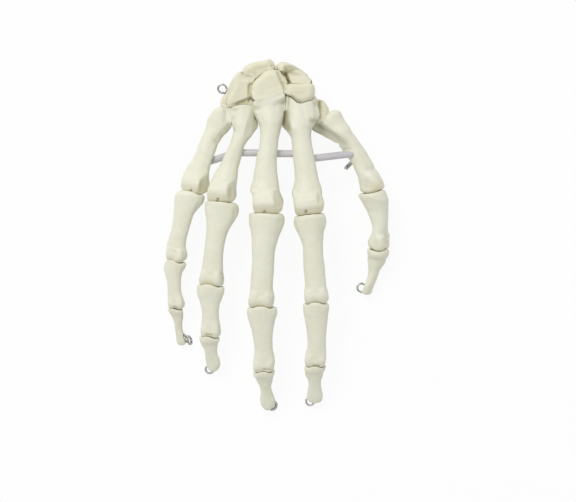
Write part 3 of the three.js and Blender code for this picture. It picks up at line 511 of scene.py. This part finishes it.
def to_pixels(points):
    """The pixel of the photograph's frame that each point is seen at."""
    closer = DISTANCE / (AIM.z + DISTANCE - points[:, 2] * MM)
    x = AIM_PIXEL[0] + (points[:, 0] * MM - AIM.x) * closer / PIXEL
    y = AIM_PIXEL[1] - (points[:, 1] * MM - AIM.y) * closer / PIXEL
    return np.stack([x, y], 1)


OUTLINE_BAND = 0.9  # half the height of the band of points whose edges are measured, in pixels
OUTLINE_SHIFT = 6  # how far an edge moves at most, in pixels
OUTLINE_FADE = 2.5  # how soon the shift fades beyond the outline's ends, in pixels


def fit_outline(points, rows):
    """Moves points sideways until the piece fills its outline, seen from above."""
    rows = np.array(rows, float)
    seen = to_pixels(points)
    grid = np.arange(np.ceil(seen[:, 1].min()) + 1, np.floor(seen[:, 1].max()), 1.0)
    bands = [seen[np.abs(seen[:, 1] - y) < OUTLINE_BAND, 0] for y in grid]
    edges = [np.array([band.min() for band in bands]), np.array([band.max() for band in bands])]
    beyond = np.maximum(0, np.maximum(rows[0, 0] - grid, grid - rows[-1, 0]))
    fade = np.exp(-((beyond / OUTLINE_FADE) ** 2))
    kernel = np.array([1, 2, 3, 2, 1]) / 9
    shifts = []
    for edge, wanted in zip(edges, rows[:, 1:].T):
        shift = np.interp(grid, rows[:, 0], wanted) - edge
        shift = np.clip(shift, -OUTLINE_SHIFT, OUTLINE_SHIFT) * fade
        shifts.append(np.convolve(np.pad(shift, 2, "edge"), kernel, "valid"))
    y = seen[:, 1]
    left, right = (np.interp(y, grid, edge) for edge in edges)
    share = np.clip((seen[:, 0] - left) / np.maximum(right - left, 1), 0, 1)
    move = np.interp(y, grid, shifts[0]) * (1 - share) + np.interp(y, grid, shifts[1]) * share
    points[:, 0] += move * PIXEL / MM


def beside_line(seen, line):
    """How far each seen point is from a line of points, in pixels, and its way off the line."""
    best = np.full(len(seen), 1e9)
    way = np.zeros((len(seen), 2))
    for a, b in zip(line, line[1:]):
        a, b = np.array(a, float), np.array(b, float)
        t = np.clip(((seen - a) @ (b - a)) / max((b - a) @ (b - a), 1e-9), 0, 1)
        off = seen - a - t[:, None] * (b - a)
        length = np.linalg.norm(off, axis=1)
        closer = length < best
        best[closer], way[closer] = length[closer], off[closer]
    return best, way / np.maximum(best, 1e-6)[:, None]


def on_line(skin, line, half):
    """1 on a line that is seen from above, fading to 0 beside it."""
    return np.exp(-((beside_line(to_pixels(skin.points), line)[0] / half) ** 2))


FACET_STRIP = 0.5  # half the width of the strip along a facet's line that gives its height, in millimetres


def cut_facets(skin, name):
    """Shaves flat facets, each of which starts at the height that the surface has along its line."""
    for a, b, slope, most, soft in FACETS.get(name, []):
        seen = to_pixels(skin.points)
        top = smoothstep(skin.normals()[:, 2], -0.3, 0.1)
        a, b = np.array(a, float), np.array(b, float)
        span = np.linalg.norm(b - a)
        along = (b - a) / span
        across = np.array([-along[1], along[0]]) * np.sign(slope)
        t = (seen - a) @ along / span
        d = (seen - a) @ across * PIXEL / MM
        strip = (np.abs(d) < FACET_STRIP) & (t > -0.05) & (t < 1.05) & (top > 0.5)
        height = np.polyval(np.polyfit(t[strip], skin.points[strip, 2], 1), np.clip(t, -0.2, 1.2))
        over = skin.points[:, 2] - (height - np.abs(slope) * d)
        drop = 0.5 * (over + np.sqrt(over**2 + soft**2)) * smoothstep(d, -soft, 1.3 * soft)
        ends = smoothstep(t, -0.25, 0.05) * smoothstep(-t, -1.25, -0.95)
        skin.points[:, 2] -= np.minimum(drop, most) * ends * top * skin.hold


def press_relief(skin, name):
    """Presses hollows in and swellings out, half along the surface's own way and half upright."""
    for line, half, depth in RELIEF.get(name, []):
        normals = skin.normals()
        facing = smoothstep(normals[:, 2], -0.1, 0.5)
        push = on_line(skin, line, half) * facing * skin.hold * depth
        skin.points -= push[:, None] * (normals * 0.5 + (0, 0, 0.5))


def near_points(points, targets):
    """How far each point is from the nearest target."""
    tree = KDTree(len(targets))
    for i, co in enumerate(targets):
        tree.insert(co, i)
    tree.balance()
    return np.array([tree.find(Vector(p))[2] for p in points])


WIRE_STEP = 0.6  # between points along a wire, in millimetres
SWING_STEP = 0.7  # between points along the wire that swings in a head
SWING_ANGLES = 16  # how many angles of it are looked at


def wire_points(names):
    """Points along these wires."""
    found = []
    for n in names:
        data = frame["nodes"][n].data
        for e in data.edges:
            a, b = (data.vertices[i].co / MM for i in e.vertices)
            steps = max(1, int((b - a).length / WIRE_STEP))
            found += [a.lerp(b, k / steps) for k in range(steps + 1)]
    return found


def swing_points(joint, towards, reach):
    """Points that the next bone's wire sweeps through, in the head."""
    pivot, axis = Vector(joint_at(joint)), Vector(JOINTS[joint]["axis"])
    along = Vector(towards) - pivot
    along.normalize()
    low, high = JOINTS[joint]["range_deg"]
    found = []
    for angle in np.linspace(low, high, SWING_ANGLES):
        turned = Matrix.Rotation(np.radians(angle), 3, axis) @ along
        found += [pivot + turned * s for s in np.arange(0, reach, SWING_STEP)]
    return found


def joint_at(name):
    return np.array(JOINTS[name]["pos_m"]) / MM


def finish_piece(skin, name, body, look, replaced):
    """Makes the piece from its shaped surface, with nothing of it under the table's top."""
    skin.points[:, 2] = np.maximum(skin.points[:, 2], 0)
    skin.store()
    mesh = skin.mesh
    mesh.transform(Matrix.Scale(MM, 4))
    mesh.name = name
    mesh.shade_smooth()
    mesh.materials.clear()
    mesh.materials.append(look)
    piece = add_object(name, mesh)
    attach(piece, body)
    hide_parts(replaced)


def store_values(skin, name, values):
    """Stores a value at each point, which the material reads by this name."""
    attribute = skin.mesh.attributes.new(name, "FLOAT", "POINT")
    attribute.data.foreach_set("value", values.astype(np.float32))


# How dark the painted shade in fine and wide hollows gets for each millimetre of depth, and at most
FINE_HOLLOW_SHADE = (6, 0.6)
WIDE_HOLLOW_SHADE = (1.4, 0.8)
WIDE_ROUNDS = 28  # how many rounds of smoothing a wide hollow stands out from


def add_hollow_shade(skin, name):
    """Stores painted shade at each point, from 0 on open surface to 1: more the deeper it lies in a hollow, and
    more along the recesses listed for painted shade.
    """
    normals = skin.normals()
    depth = np.zeros(len(skin.points))
    smooth, smoother = skin.spread(skin.points), skin.softened(skin.points, WIDE_ROUNDS)
    for soft, (strength, most) in ((smooth, FINE_HOLLOW_SHADE), (smoother, WIDE_HOLLOW_SHADE)):
        depth += np.clip(np.einsum("ij,ij->i", soft - skin.points, normals) * strength, 0, most)
    depth = skin.softened(depth, 4)
    # painted shade along the listed recesses, where shade falls between and under pieces
    for line, half, dark in SHADED_RECESSES.get(name, []):
        depth += dark * on_line(skin, line, half) * (normals[:, 2] > -0.3)
    store_values(skin, "hollow_shade", np.clip(depth, 0, 1))


def add_ends(skin, places, seed):
    """Stores how near each point lies to a joint, where the colour turns a warmer tan, in patches."""
    near = np.zeros(len(skin.points))
    for place, radius in places:
        away = np.linalg.norm(skin.points - place, axis=1) / radius
        near = np.maximum(near, 1 - smoothstep(away, 0.5, 1.3))
    near *= np.clip(0.65 + 0.6 * noise_at(skin.points, 1 / 5, seed), 0, 1)
    store_values(skin, "ends", near)


class Local:
    """A bone's own axes: x to the thumb side, y towards the wrist, z out of the back of the hand."""

    def __init__(self, origin, x, towards_wrist):
        self.origin = origin
        x = np.array(x) / np.linalg.norm(x)
        y = towards_wrist - x * np.dot(towards_wrist, x)
        y = y / np.linalg.norm(y)
        self.axes = np.stack([x, y, np.cross(x, y)])

    def inside(self, points):
        return (points - self.origin) @ self.axes.T

    def outside(self, points):
        return points @ self.axes + self.origin


def corners(name, local):
    """A CAD node's corners in a bone's own axes, in millimetres."""
    return local.inside(read(frame["nodes"][name].data.vertices, "co", 3) / MM)


def middle_of(name):
    """The middle of a CAD node's box, in millimetres."""
    return np.array(sum(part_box(name), Vector()) / 2) / MM


def size_between(name, local, low, high):
    """The width and depth of a CAD node between two places along it."""
    inside = corners(name, local)
    inside = inside[(inside[:, 1] >= low) & (inside[:, 1] <= high)]
    size = inside.max(0) - inside.min(0)
    return size[0], size[2]


def dent(points, normals, at, radius, depth):
    """Presses the surface in around a point, or out where depth is below 0."""
    distance = np.linalg.norm((points - at) / radius, axis=1)
    return -depth * np.exp(-(distance**2) * 1.6)[:, None] * normals


# A head that the next bone turns on: its bone's skin, its hinge, half its width, its radius, shape and bulge
Head = namedtuple("Head", "skin joint half radius shape bulge", defaults=[(0, 0)])
# The shapes of heads: places along the hinge as shares of the half width, and the radius there as a share
BALL = ([0, 0.45, 0.78, 0.96, 1.1], [1, 0.98, 0.86, 0.66, 0.3])
PULLEY = ([0, 0.18, 0.6, 0.96, 1.1], [0.9, 0.9, 1, 0.74, 0.3])
HEAD_MARGIN = 0.4  # added to half a head's width in what is kept clear, in millimetres
REST_GAP = 0.16  # between a base and the head that it turns on, at least
SEAT = 0.88  # where a base starts, as a share of the radius of the head before it
# How far the knuckles bulge over the solids, on the little-finger side and on the thumb side, in millimetres
KNUCKLE_BULGE = {
    "thumb": (0, 0), "index": (0.7, 0.1), "middle": (1.6, 1.2), "ring": (1.7, 0.5), "little": (0.4, 0.2),
}


def clear_head(points, head):
    """Keeps a base clear of the head that it turns on, at every angle."""
    axis = np.array(JOINTS[head.joint]["axis"])
    reach = points - joint_at(head.joint)
    along = reach @ axis
    out = reach - along[:, None] * axis
    distance = np.linalg.norm(out, axis=1)
    need = np.interp(np.abs(along) / head.half, *head.shape) * head.radius + REST_GAP
    need += np.interp(along, (-head.half, head.half), head.bulge)
    grow = np.where(distance < need, need / np.maximum(distance, 0.1), 1.0)
    points += (grow - 1)[:, None] * out


LIMIT_REACH = 14.0  # how far from the hinge a base is kept clear at the joint's limits, in millimetres
LIMIT_NEAR = 1.5  # how near to that bone it is looked at there
LIMIT_GAP = 0.06  # what is kept clear there


def clear_limits(points, head):
    """Keeps a base clear of the whole bone before it at both limits of the joint."""
    faces = [face.vertices[:] for face in head.skin.mesh.polygons]
    tree = BVHTree.FromPolygons([Vector(p) for p in head.skin.points], faces)
    joint = JOINTS[head.joint]
    pivot = joint_at(head.joint)
    near = np.flatnonzero(np.linalg.norm(points - pivot, axis=1) < LIMIT_REACH)
    for angle in joint["range_deg"]:
        turn = np.array(Matrix.Rotation(np.radians(angle), 3, Vector(joint["axis"])))
        turned = (points[near] - pivot) @ turn.T + pivot
        for k, p in enumerate(turned):
            place, normal, _, _ = tree.find_nearest(Vector(p), LIMIT_NEAR)
            if place is not None:
                outside = (Vector(p) - place).dot(normal)
                turned[k] += np.array(normal) * max(0, LIMIT_GAP - outside)
        points[near] = (turned - pivot) @ turn + pivot


bones = []
# Nearer to a wire than the first a surface keeps its place, and beyond the second it is free, in millimetres
WIRE_HOLD = (0.95, 2.0)
SWELLS = ((0.14, 1 / 6, 0), (0.05, 1 / 2.2, 3))  # heights, waves for each millimetre, and steps of the seed


def shape_bone(name, mesh, kept, local=None, sculpt=None, head=None, grow=0.0, look=BONE, ends=()):
    """Gives a bone its form. Sculpt is a function and its values, head is what the bone turns on, and the
    bone's number is its seed."""
    voxel, rounds = mesh
    seed = len(bones) + 1
    skin = Skin(even_mesh(name, voxel))
    skin.hold = smoothstep(near_points(skin.points, kept), *WIRE_HOLD)
    skin.relax(3)
    skin.relax(rounds, skin.hold)
    skin.points += (grow * skin.hold)[:, None] * skin.normals()
    if name in STRETCH:
        start, more = STRETCH[name]
        y = to_pixels(skin.points)[:, 1]
        skin.points[:, 1] -= more * PIXEL / MM * smoothstep(y, start, y.max())
    if name in OUTLINES:
        fit_outline(skin.points, OUTLINES[name])
    if name in TUGS:
        place, radius, way = TUGS[name]
        skin.points[:, 1] += on_line(skin, (place, place), radius) * skin.hold * way * PIXEL / MM
    if sculpt:
        shape, *values = sculpt
        inside = local.inside(skin.points)
        inside += shape(inside, skin.normals() @ local.axes.T, *values) * skin.hold[:, None]
        skin.points = local.outside(inside)
    bones.append((name, skin, seed, head, look, ends))
    return skin


def finish_bone(name, skin, seed, head, look, ends):
    if name not in CUT_FIRST:
        cut_facets(skin, name)
    press_relief(skin, name)
    swell = sum(height * noise_at(skin.points, waves, seed + more) for height, waves, more in SWELLS)
    skin.points += (swell * skin.hold)[:, None] * skin.normals()
    skin.relax(3, 0.8)
    if head:
        clear_head(skin.points, head)
        clear_limits(skin.points, head)
    add_hollow_shade(skin, name)
    add_ends(skin, ends, seed)
    made = name.removesuffix("_phalanx") + "_bone"
    finish_piece(skin, made, BODY_OF[name], look, name)


def seam_terms(seen, line, bend):
    """The terms of a surface that curves along a seam, and across it is straight or has one bend."""
    start, end = np.array(line[0]), np.array(line[-1])
    along = (end - start) / np.linalg.norm(end - start)
    t, d = ((seen - (start + end) / 2) @ np.array([along, [-along[1], along[0]]]).T / SEAM_UNIT).T
    terms = [np.ones(len(t)), t, d, t * t, t * d]
    if bend is not None:
        terms.append(np.maximum(0, d - bend / SEAM_UNIT))
    return np.stack(terms, 1)


def fill_seam(skins, line, half, share, bend=None):
    """Raises the edges on both sides of a seam to one smooth surface, and closes the seam."""
    found = []
    for skin in skins:
        seen = to_pixels(skin.points)
        found.append((skin, seen, *beside_line(seen, line), skin.normals()))
    edge = 0.7 * half
    beside = [(away > edge) & (away < edge + SEAM_BESIDE) & (n[:, 2] > 0.6) for _, _, away, _, n in found]
    terms = np.concatenate([seam_terms(seen[b], line, bend) for (_, seen, *_), b in zip(found, beside)])
    heights = np.concatenate([skin.points[b, 2] for (skin, *_), b in zip(found, beside)])
    used = heights > np.median(heights) - 4
    for _ in range(4):
        fit = np.linalg.lstsq(terms[used], heights[used], rcond=None)[0]
        used = heights > terms @ fit - 0.8
    for skin, seen, away, way, normals in found:
        near = away < half
        up = normals[near, 2]
        low = seam_terms(seen[near], line, bend) @ fit - skin.points[near, 2]
        weight = 1 - smoothstep(away[near], 0.5 * half, half)
        # walls that face the seam rise with it, and the others stay
        faces = (normals[near, 1] * way[near, 1] - normals[near, 0] * way[near, 0]) > 0.1
        stays = np.where(faces | (away[near] < 1.5), 0.0, 0.6)
        weight *= smoothstep(up + 0.5 - stays, 0, 0.4)
        weight *= 1 - smoothstep(low, 6.0, 8.0)
        wall = SEAM_OVERLAP * share * smoothstep(-up, -0.8, -0.4) * (away[near] < 0.5 * half)
        skin.points[near] += (wall * skin.hold[near])[:, None] * normals[near]
        skin.points[near, 2] += np.maximum(low, 0) * weight * share


def bulge_knuckle(skin, local, radius, width, bulge):
    """Grows a head away from its hinge."""
    p = local.inside(skin.points)
    share = smoothstep(-p[:, 1] / radius, -0.2, 0.5) * smoothstep(p[:, 2] / radius, -0.7, 0.0)
    share *= np.interp(p[:, 0], (-width / 2, width / 2), bulge) / np.maximum(np.hypot(p[:, 1], p[:, 2]), 0.5)
    p[:, 1:] += p[:, 1:] * share[:, None]
    skin.points = local.outside(p)


# In these sculpt functions p holds the points and n the normals, both in the bone's own axes.
def sculpt_metacarpal(p, n, length, radius, width, pit):
    """Pit is the depth of the hollows on both sides of the head."""
    move = np.zeros_like(p)
    for side in (-1, 1):
        move += dent(p, n, (side * 0.46 * width, 0.1 * radius, 0.1 * radius), (2.2, 2.6, 2.4), pit)
        move += dent(p, n, (side * 0.27 * width, -0.1 * radius, -0.95 * radius), (1.8, 3.0, 2.4), -0.45)
        move += dent(p, n, (side * 3.2, 0.42 * length, 3.4), (1.6, 13, 3), 0.3)
    move += dent(p, n, (0, 1.1 * radius, -0.8 * radius), (3.0, 3.2, 3), 0.6)
    return move + (0.2 * smoothstep(p[:, 1], 0.84 * length, 0.92 * length))[:, None] * n


def level_back(p, low, high):
    """How far each point's place along the bone lies under a straight back between two places."""
    grid = np.arange(low, high + 0.4, 0.4)
    near = np.abs(p[:, 0]) < 1.3
    ridge = np.array([p[near & (np.abs(p[:, 1] - y) < 0.5), 2].max() for y in grid])
    level = np.interp(grid, (low, high), (ridge[0], ridge[-1]))
    return np.interp(p[:, 1], grid, np.maximum(0, level - ridge), 0, 0)


def base_lip(p, base_width, along, up, height):
    """The lip in the middle of the base's back, that fits the groove of the head before it."""
    lip = np.exp(-((p[:, 0] / (0.3 * base_width)) ** 4)) * smoothstep(p[:, 1], *along)
    lip *= smoothstep(p[:, 2], *up)
    return (height * lip)[:, None] * (0, 1, 0.35)


def sculpt_phalanx(p, n, length, seat, base_width, radius, width, depth, beak, bulge):
    """Beak is the height of the lip, and bulge that of the knuckle that the base makes room for."""
    move = np.zeros_like(p)
    back = level_back(p, -length - 0.1 * radius, -length + 4 * radius)
    move[:, 2] += back * smoothstep(n[:, 2], 0.0, 0.6)
    room = np.interp(p[:, 0], (-base_width / 2, base_width / 2), bulge)
    move[:, 1] -= room * smoothstep(p[:, 1], -1.7 * seat, -0.7 * seat)
    for side in (-1, 1):
        move += dent(p, n, (side * 0.5 * width, -length + 0.05 * radius, 0), (1.6, 1.8, 1.7), 0.4)
        ridge = (side * 0.42 * width, -0.55 * length, -0.4 * depth)
        move += dent(p, n, ridge, (1.3, 0.16 * length, 1.3), -0.45)
    move += dent(p, n, (0, -length + 0.1 * radius, 0.9 * radius), (0.22 * width, 3.0, 2), -0.3)
    move += dent(p, n, (0, -length + 1.4 * radius, -0.8 * radius), (2.4, 2.2, 2.4), 0.5)
    return move + base_lip(p, base_width, (-1.5 * seat, -0.8 * seat), (0.2 * depth, 0.42 * depth), beak)


def sculpt_tip(p, n, length, seat, base_width, tuft_width, beak):
    move = np.zeros_like(p)
    for side in (-1, 1):
        move += dent(p, n, (side * 0.5 * tuft_width, -0.8 * length, 0), (1.2, 1.3, 1.6), -0.2)
        move += dent(p, n, (side * 0.3 * tuft_width, -0.9 * length, 2), (1.0, 1.8, 1.6), -0.16)
    move += dent(p, n, (0, -0.62 * length, 2.4), (1.8, 2.6, 1.8), 0.22)
    move += dent(p, n, (0, -0.82 * length, -2.4), (2.0, 2.6, 1.8), 0.3)
    up = (0.1 * base_width, 0.25 * base_width)
    return move + base_lip(p, base_width, (-1.6 * seat, -0.8 * seat), up, beak)


# Long bones
BEAKS = {"proximal": 0.5, "middle": 1.7, "distal": 1.2}  # how high the lips of the bases are


def shape_metacarpal(finger, joint, places):
    """Shapes the bone and returns its head. Places are that joint and the next."""
    bone = f"{finger}_metacarpal"
    start, beyond = places
    local = Local(start, JOINTS[joint]["axis"], middle_of(bone) - start)
    inside = corners(bone, local)
    length, radius = inside[:, 1].max(), -inside[:, 1].min()
    width, _ = size_between(bone, local, -0.5 * radius, 0.5 * radius)
    kept = wire_points([f"{finger}_wire_metacarpal", f"{finger}_wire_proximal", "cross_wire"])
    kept += swing_points(joint, beyond, 1.3 * radius)
    sculpt = (sculpt_metacarpal, length, radius, width, 0.25 if finger == "thumb" else 0.6)
    tips = [(x * width, -0.95 * radius, 0.2 * radius) for x in (-0.3, 0, 0.35)]
    ends = [(local.outside(tip), 0.85 * radius) for tip in tips]
    skin = shape_bone(bone, METACARPAL_MESH, kept, local, sculpt, ends=ends)
    bulge_knuckle(skin, local, radius, width, KNUCKLE_BULGE[finger])
    return Head(skin, joint, width / 2 + HEAD_MARGIN, radius, BALL, KNUCKLE_BULGE[finger])


def shape_phalanx(finger, part, following, joint, places, head):
    """Shapes a bone with a head at this joint, and returns that. Places are its ends and the next end."""
    bone = f"{finger}_{part}_phalanx"
    start, end, beyond = places
    seat = SEAT * head.radius
    local = Local(start, JOINTS[joint]["axis"], start - end)
    length = np.linalg.norm(end - start)
    radius = -corners(bone, local)[:, 1].min() - length
    base_width, depth = size_between(bone, local, -1.5 * seat, 0)
    width, _ = size_between(bone, local, -length - 0.5 * radius, -length + 0.5 * radius)
    sculpt = (sculpt_phalanx, length, seat, base_width, radius, width, depth, BEAKS[part], head.bulge)
    kept = wire_points([f"{finger}_wire_{part}", f"{finger}_wire_{following}"])
    kept += swing_points(joint, beyond, 1.3 * radius)
    tip = local.outside((0, -length - radius, 0.3 * radius))
    skin = shape_bone(bone, PHALANX_MESH, kept, local, sculpt, head, ends=[(tip, radius)])
    return Head(skin, joint, width / 2 + HEAD_MARGIN, radius, PULLEY)


def shape_tip(finger, joint, places, head):
    """Shapes the last bone. Places are its joint and its middle."""
    bone = f"{finger}_distal_phalanx"
    start, middle = places
    seat = SEAT * head.radius
    local = Local(start, JOINTS[joint]["axis"], start - middle)
    length = -corners(bone, local)[:, 1].min()
    base_width, _ = size_between(bone, local, -1.6 * seat, 0)
    tuft_width, _ = size_between(bone, local, -length, -0.75 * length)
    sculpt = (sculpt_tip, length, seat, base_width, tuft_width, BEAKS["distal"])
    shape_bone(bone, TIP_MESH, wire_points([f"{finger}_wire_tip"]), local, sculpt, head)


for finger, parts in FINGERS.items():
    kinds = ["mcp", "ip"] if finger == "thumb" else ["mcp", "pip", "dip"]
    joints = [f"{finger}_{kind}" for kind in kinds]
    places = [joint_at(joint) for joint in joints] + [middle_of(f"{finger}_distal_phalanx")]
    head = shape_metacarpal(finger, joints[0], places[:2])
    for i, part in enumerate(parts[:-1]):
        following = "tip" if parts[i + 1] == "distal" else parts[i + 1]
        head = shape_phalanx(finger, part, following, joints[i + 1], places[i : i + 3], head)
    shape_tip(finger, joints[-1], places[-2:], head)

# Wrist bones
wrist_kept = wire_points(["wrist_wire", "proximal_row_wire", "pisiform_pin"])
wrist_kept += wire_points([f"{finger}_wire_metacarpal" for finger in FINGERS])
for name in CARPALS:
    shape_bone(name, CARPAL_MESH, wrist_kept, grow=CARPAL_GROWTH, look=WRIST_BONE)

skins = {bone[0]: bone[1] for bone in bones}
for name in CUT_FIRST:
    cut_facets(skins[name], name)
for names, *seam in SEAMS:
    fill_seam([skins[name] for name in names], *seam)
for bone in bones:
    finish_bone(*bone)

# Wires
for name in WIRES:
    voxel, rounds = WIRE_MESH
    skin = Skin(even_mesh(name, voxel))
    skin.relax(rounds)
    finger, _, part = name.partition("_wire_")
    if part in ("metacarpal", "proximal", "middle"):
        grow = np.zeros(len(skin.points))
    elif part == "tip":
        last = joint_at(f"{finger}_ip" if finger == "thumb" else f"{finger}_dip")
        grow = WIRE_GROWTH * smoothstep(np.linalg.norm(skin.points - last, axis=1), *EYE_START)
    else:
        grow = np.full(len(skin.points), WIRE_GROWTH)
    if name in THICK_EYES:
        centre, reach, more = THICK_EYES[name]
        away = np.linalg.norm(to_pixels(skin.points) - centre, axis=1)
        grow += more * (1 - smoothstep(away, 0.8 * reach, 1.2 * reach))
    skin.points += grow[:, None] * skin.normals()
    finish_piece(skin, f"{name}_drawn", BODY_OF[name], STEEL_WIRE, name)

# Sleeves
for name in SLEEVES:
    voxel, rounds = SLEEVE_MESH
    skin = Skin(even_mesh(name, voxel))
    skin.relax(rounds)
    skin.points += SLEEVE_GROWTH * skin.normals()
    finish_piece(skin, f"{name}_tube", BODY_OF[name], SLEEVE, name)


# Table, light and camera
TABLE_SIZE = 6.0
TABLE_TOP = -0.0001
PALE = (0.95, 0.95, 0.95, 1)
WHITE = (1, 1, 1, 1)
SEEN_WHITE = 0.91  # the share of the white room in what is seen of the table
ROOM_LIGHT = 0.62
WINDOW = Vector((-0.85, 1.5, 2.1))
WINDOW_SIZE = 1.25
WINDOW_LIGHT = 31.0
LIT = Vector((0, 0, 0.01))


def either(tree, paths, first, second):
    """1 where one of two outputs of Light Path is 1."""
    sources = (paths.outputs[first], paths.outputs[second])
    return node(tree, "ShaderNodeMath", *sources, operation="MAXIMUM").outputs[0]


def matt_table(tree):
    """Most of what the camera sees is the white room behind, so that a finger that is bent below the table's
    top still shows. The rest is pale and keeps the shadow. Reflections see the table white."""
    cover = node(tree, "ShaderNodeBsdfDiffuse", PALE)
    glow = node(tree, "ShaderNodeEmission", WHITE)
    clear = node(tree, "ShaderNodeBsdfTransparent")
    paths = node(tree, "ShaderNodeLightPath")
    reflected = either(tree, paths, "Is Glossy Ray", "Is Transmission Ray")
    shown = cover
    for source, layer in ((reflected, glow), (paths.outputs["Is Camera Ray"], clear)):
        share = node(tree, "ShaderNodeMath", source, SEEN_WHITE, operation="MULTIPLY")
        shown = node(tree, "ShaderNodeMixShader", share.outputs[0], shown.outputs[0], layer.outputs[0])
    return shown


def white_room():
    """Soft light from all sides. The camera and clear pieces see it white."""
    world = bpy.data.worlds.new("room")
    world.use_nodes = True
    tree = world.node_tree
    tree.nodes.clear()
    room = node(tree, "ShaderNodeBackground", WHITE, ROOM_LIGHT)
    white = node(tree, "ShaderNodeBackground", WHITE)
    seen = either(tree, node(tree, "ShaderNodeLightPath"), "Is Camera Ray", "Is Transmission Ray")
    shown = node(tree, "ShaderNodeMixShader", seen, room.outputs[0], white.outputs[0])
    node(tree, "ShaderNodeOutputWorld", shown.outputs[0])
    return world


mesh = bpy.data.meshes.new("table")
side = TABLE_SIZE / 2
corner_ways = ((-1, -1), (1, -1), (1, 1), (-1, 1))
mesh.from_pydata([(side * x, side * y, TABLE_TOP) for x, y in corner_ways], [], [(0, 1, 2, 3)])
mesh.materials.append(material("table", matt_table))
made = add_object("table", mesh)

lamp = bpy.data.lights.new("window", "AREA")
lamp.shape = "DISK"
lamp.size = WINDOW_SIZE
lamp.energy = WINDOW_LIGHT
window = add_object("window", lamp)
window.location = WINDOW
window.rotation_euler = (LIT - WINDOW).to_track_quat("-Z", "Y").to_euler()

camera = bpy.data.cameras.new("camera")
camera.lens = camera.sensor_width * DISTANCE / (FRAME_PIXELS[0] * PIXEL)
camera.clip_end = 20
eye = add_object("camera", camera)
eye.location = AIM + Vector((0, 0, DISTANCE))

scene = bpy.context.scene
scene.world = white_room()
scene.camera = eye
scene.view_settings.view_transform = "Standard"
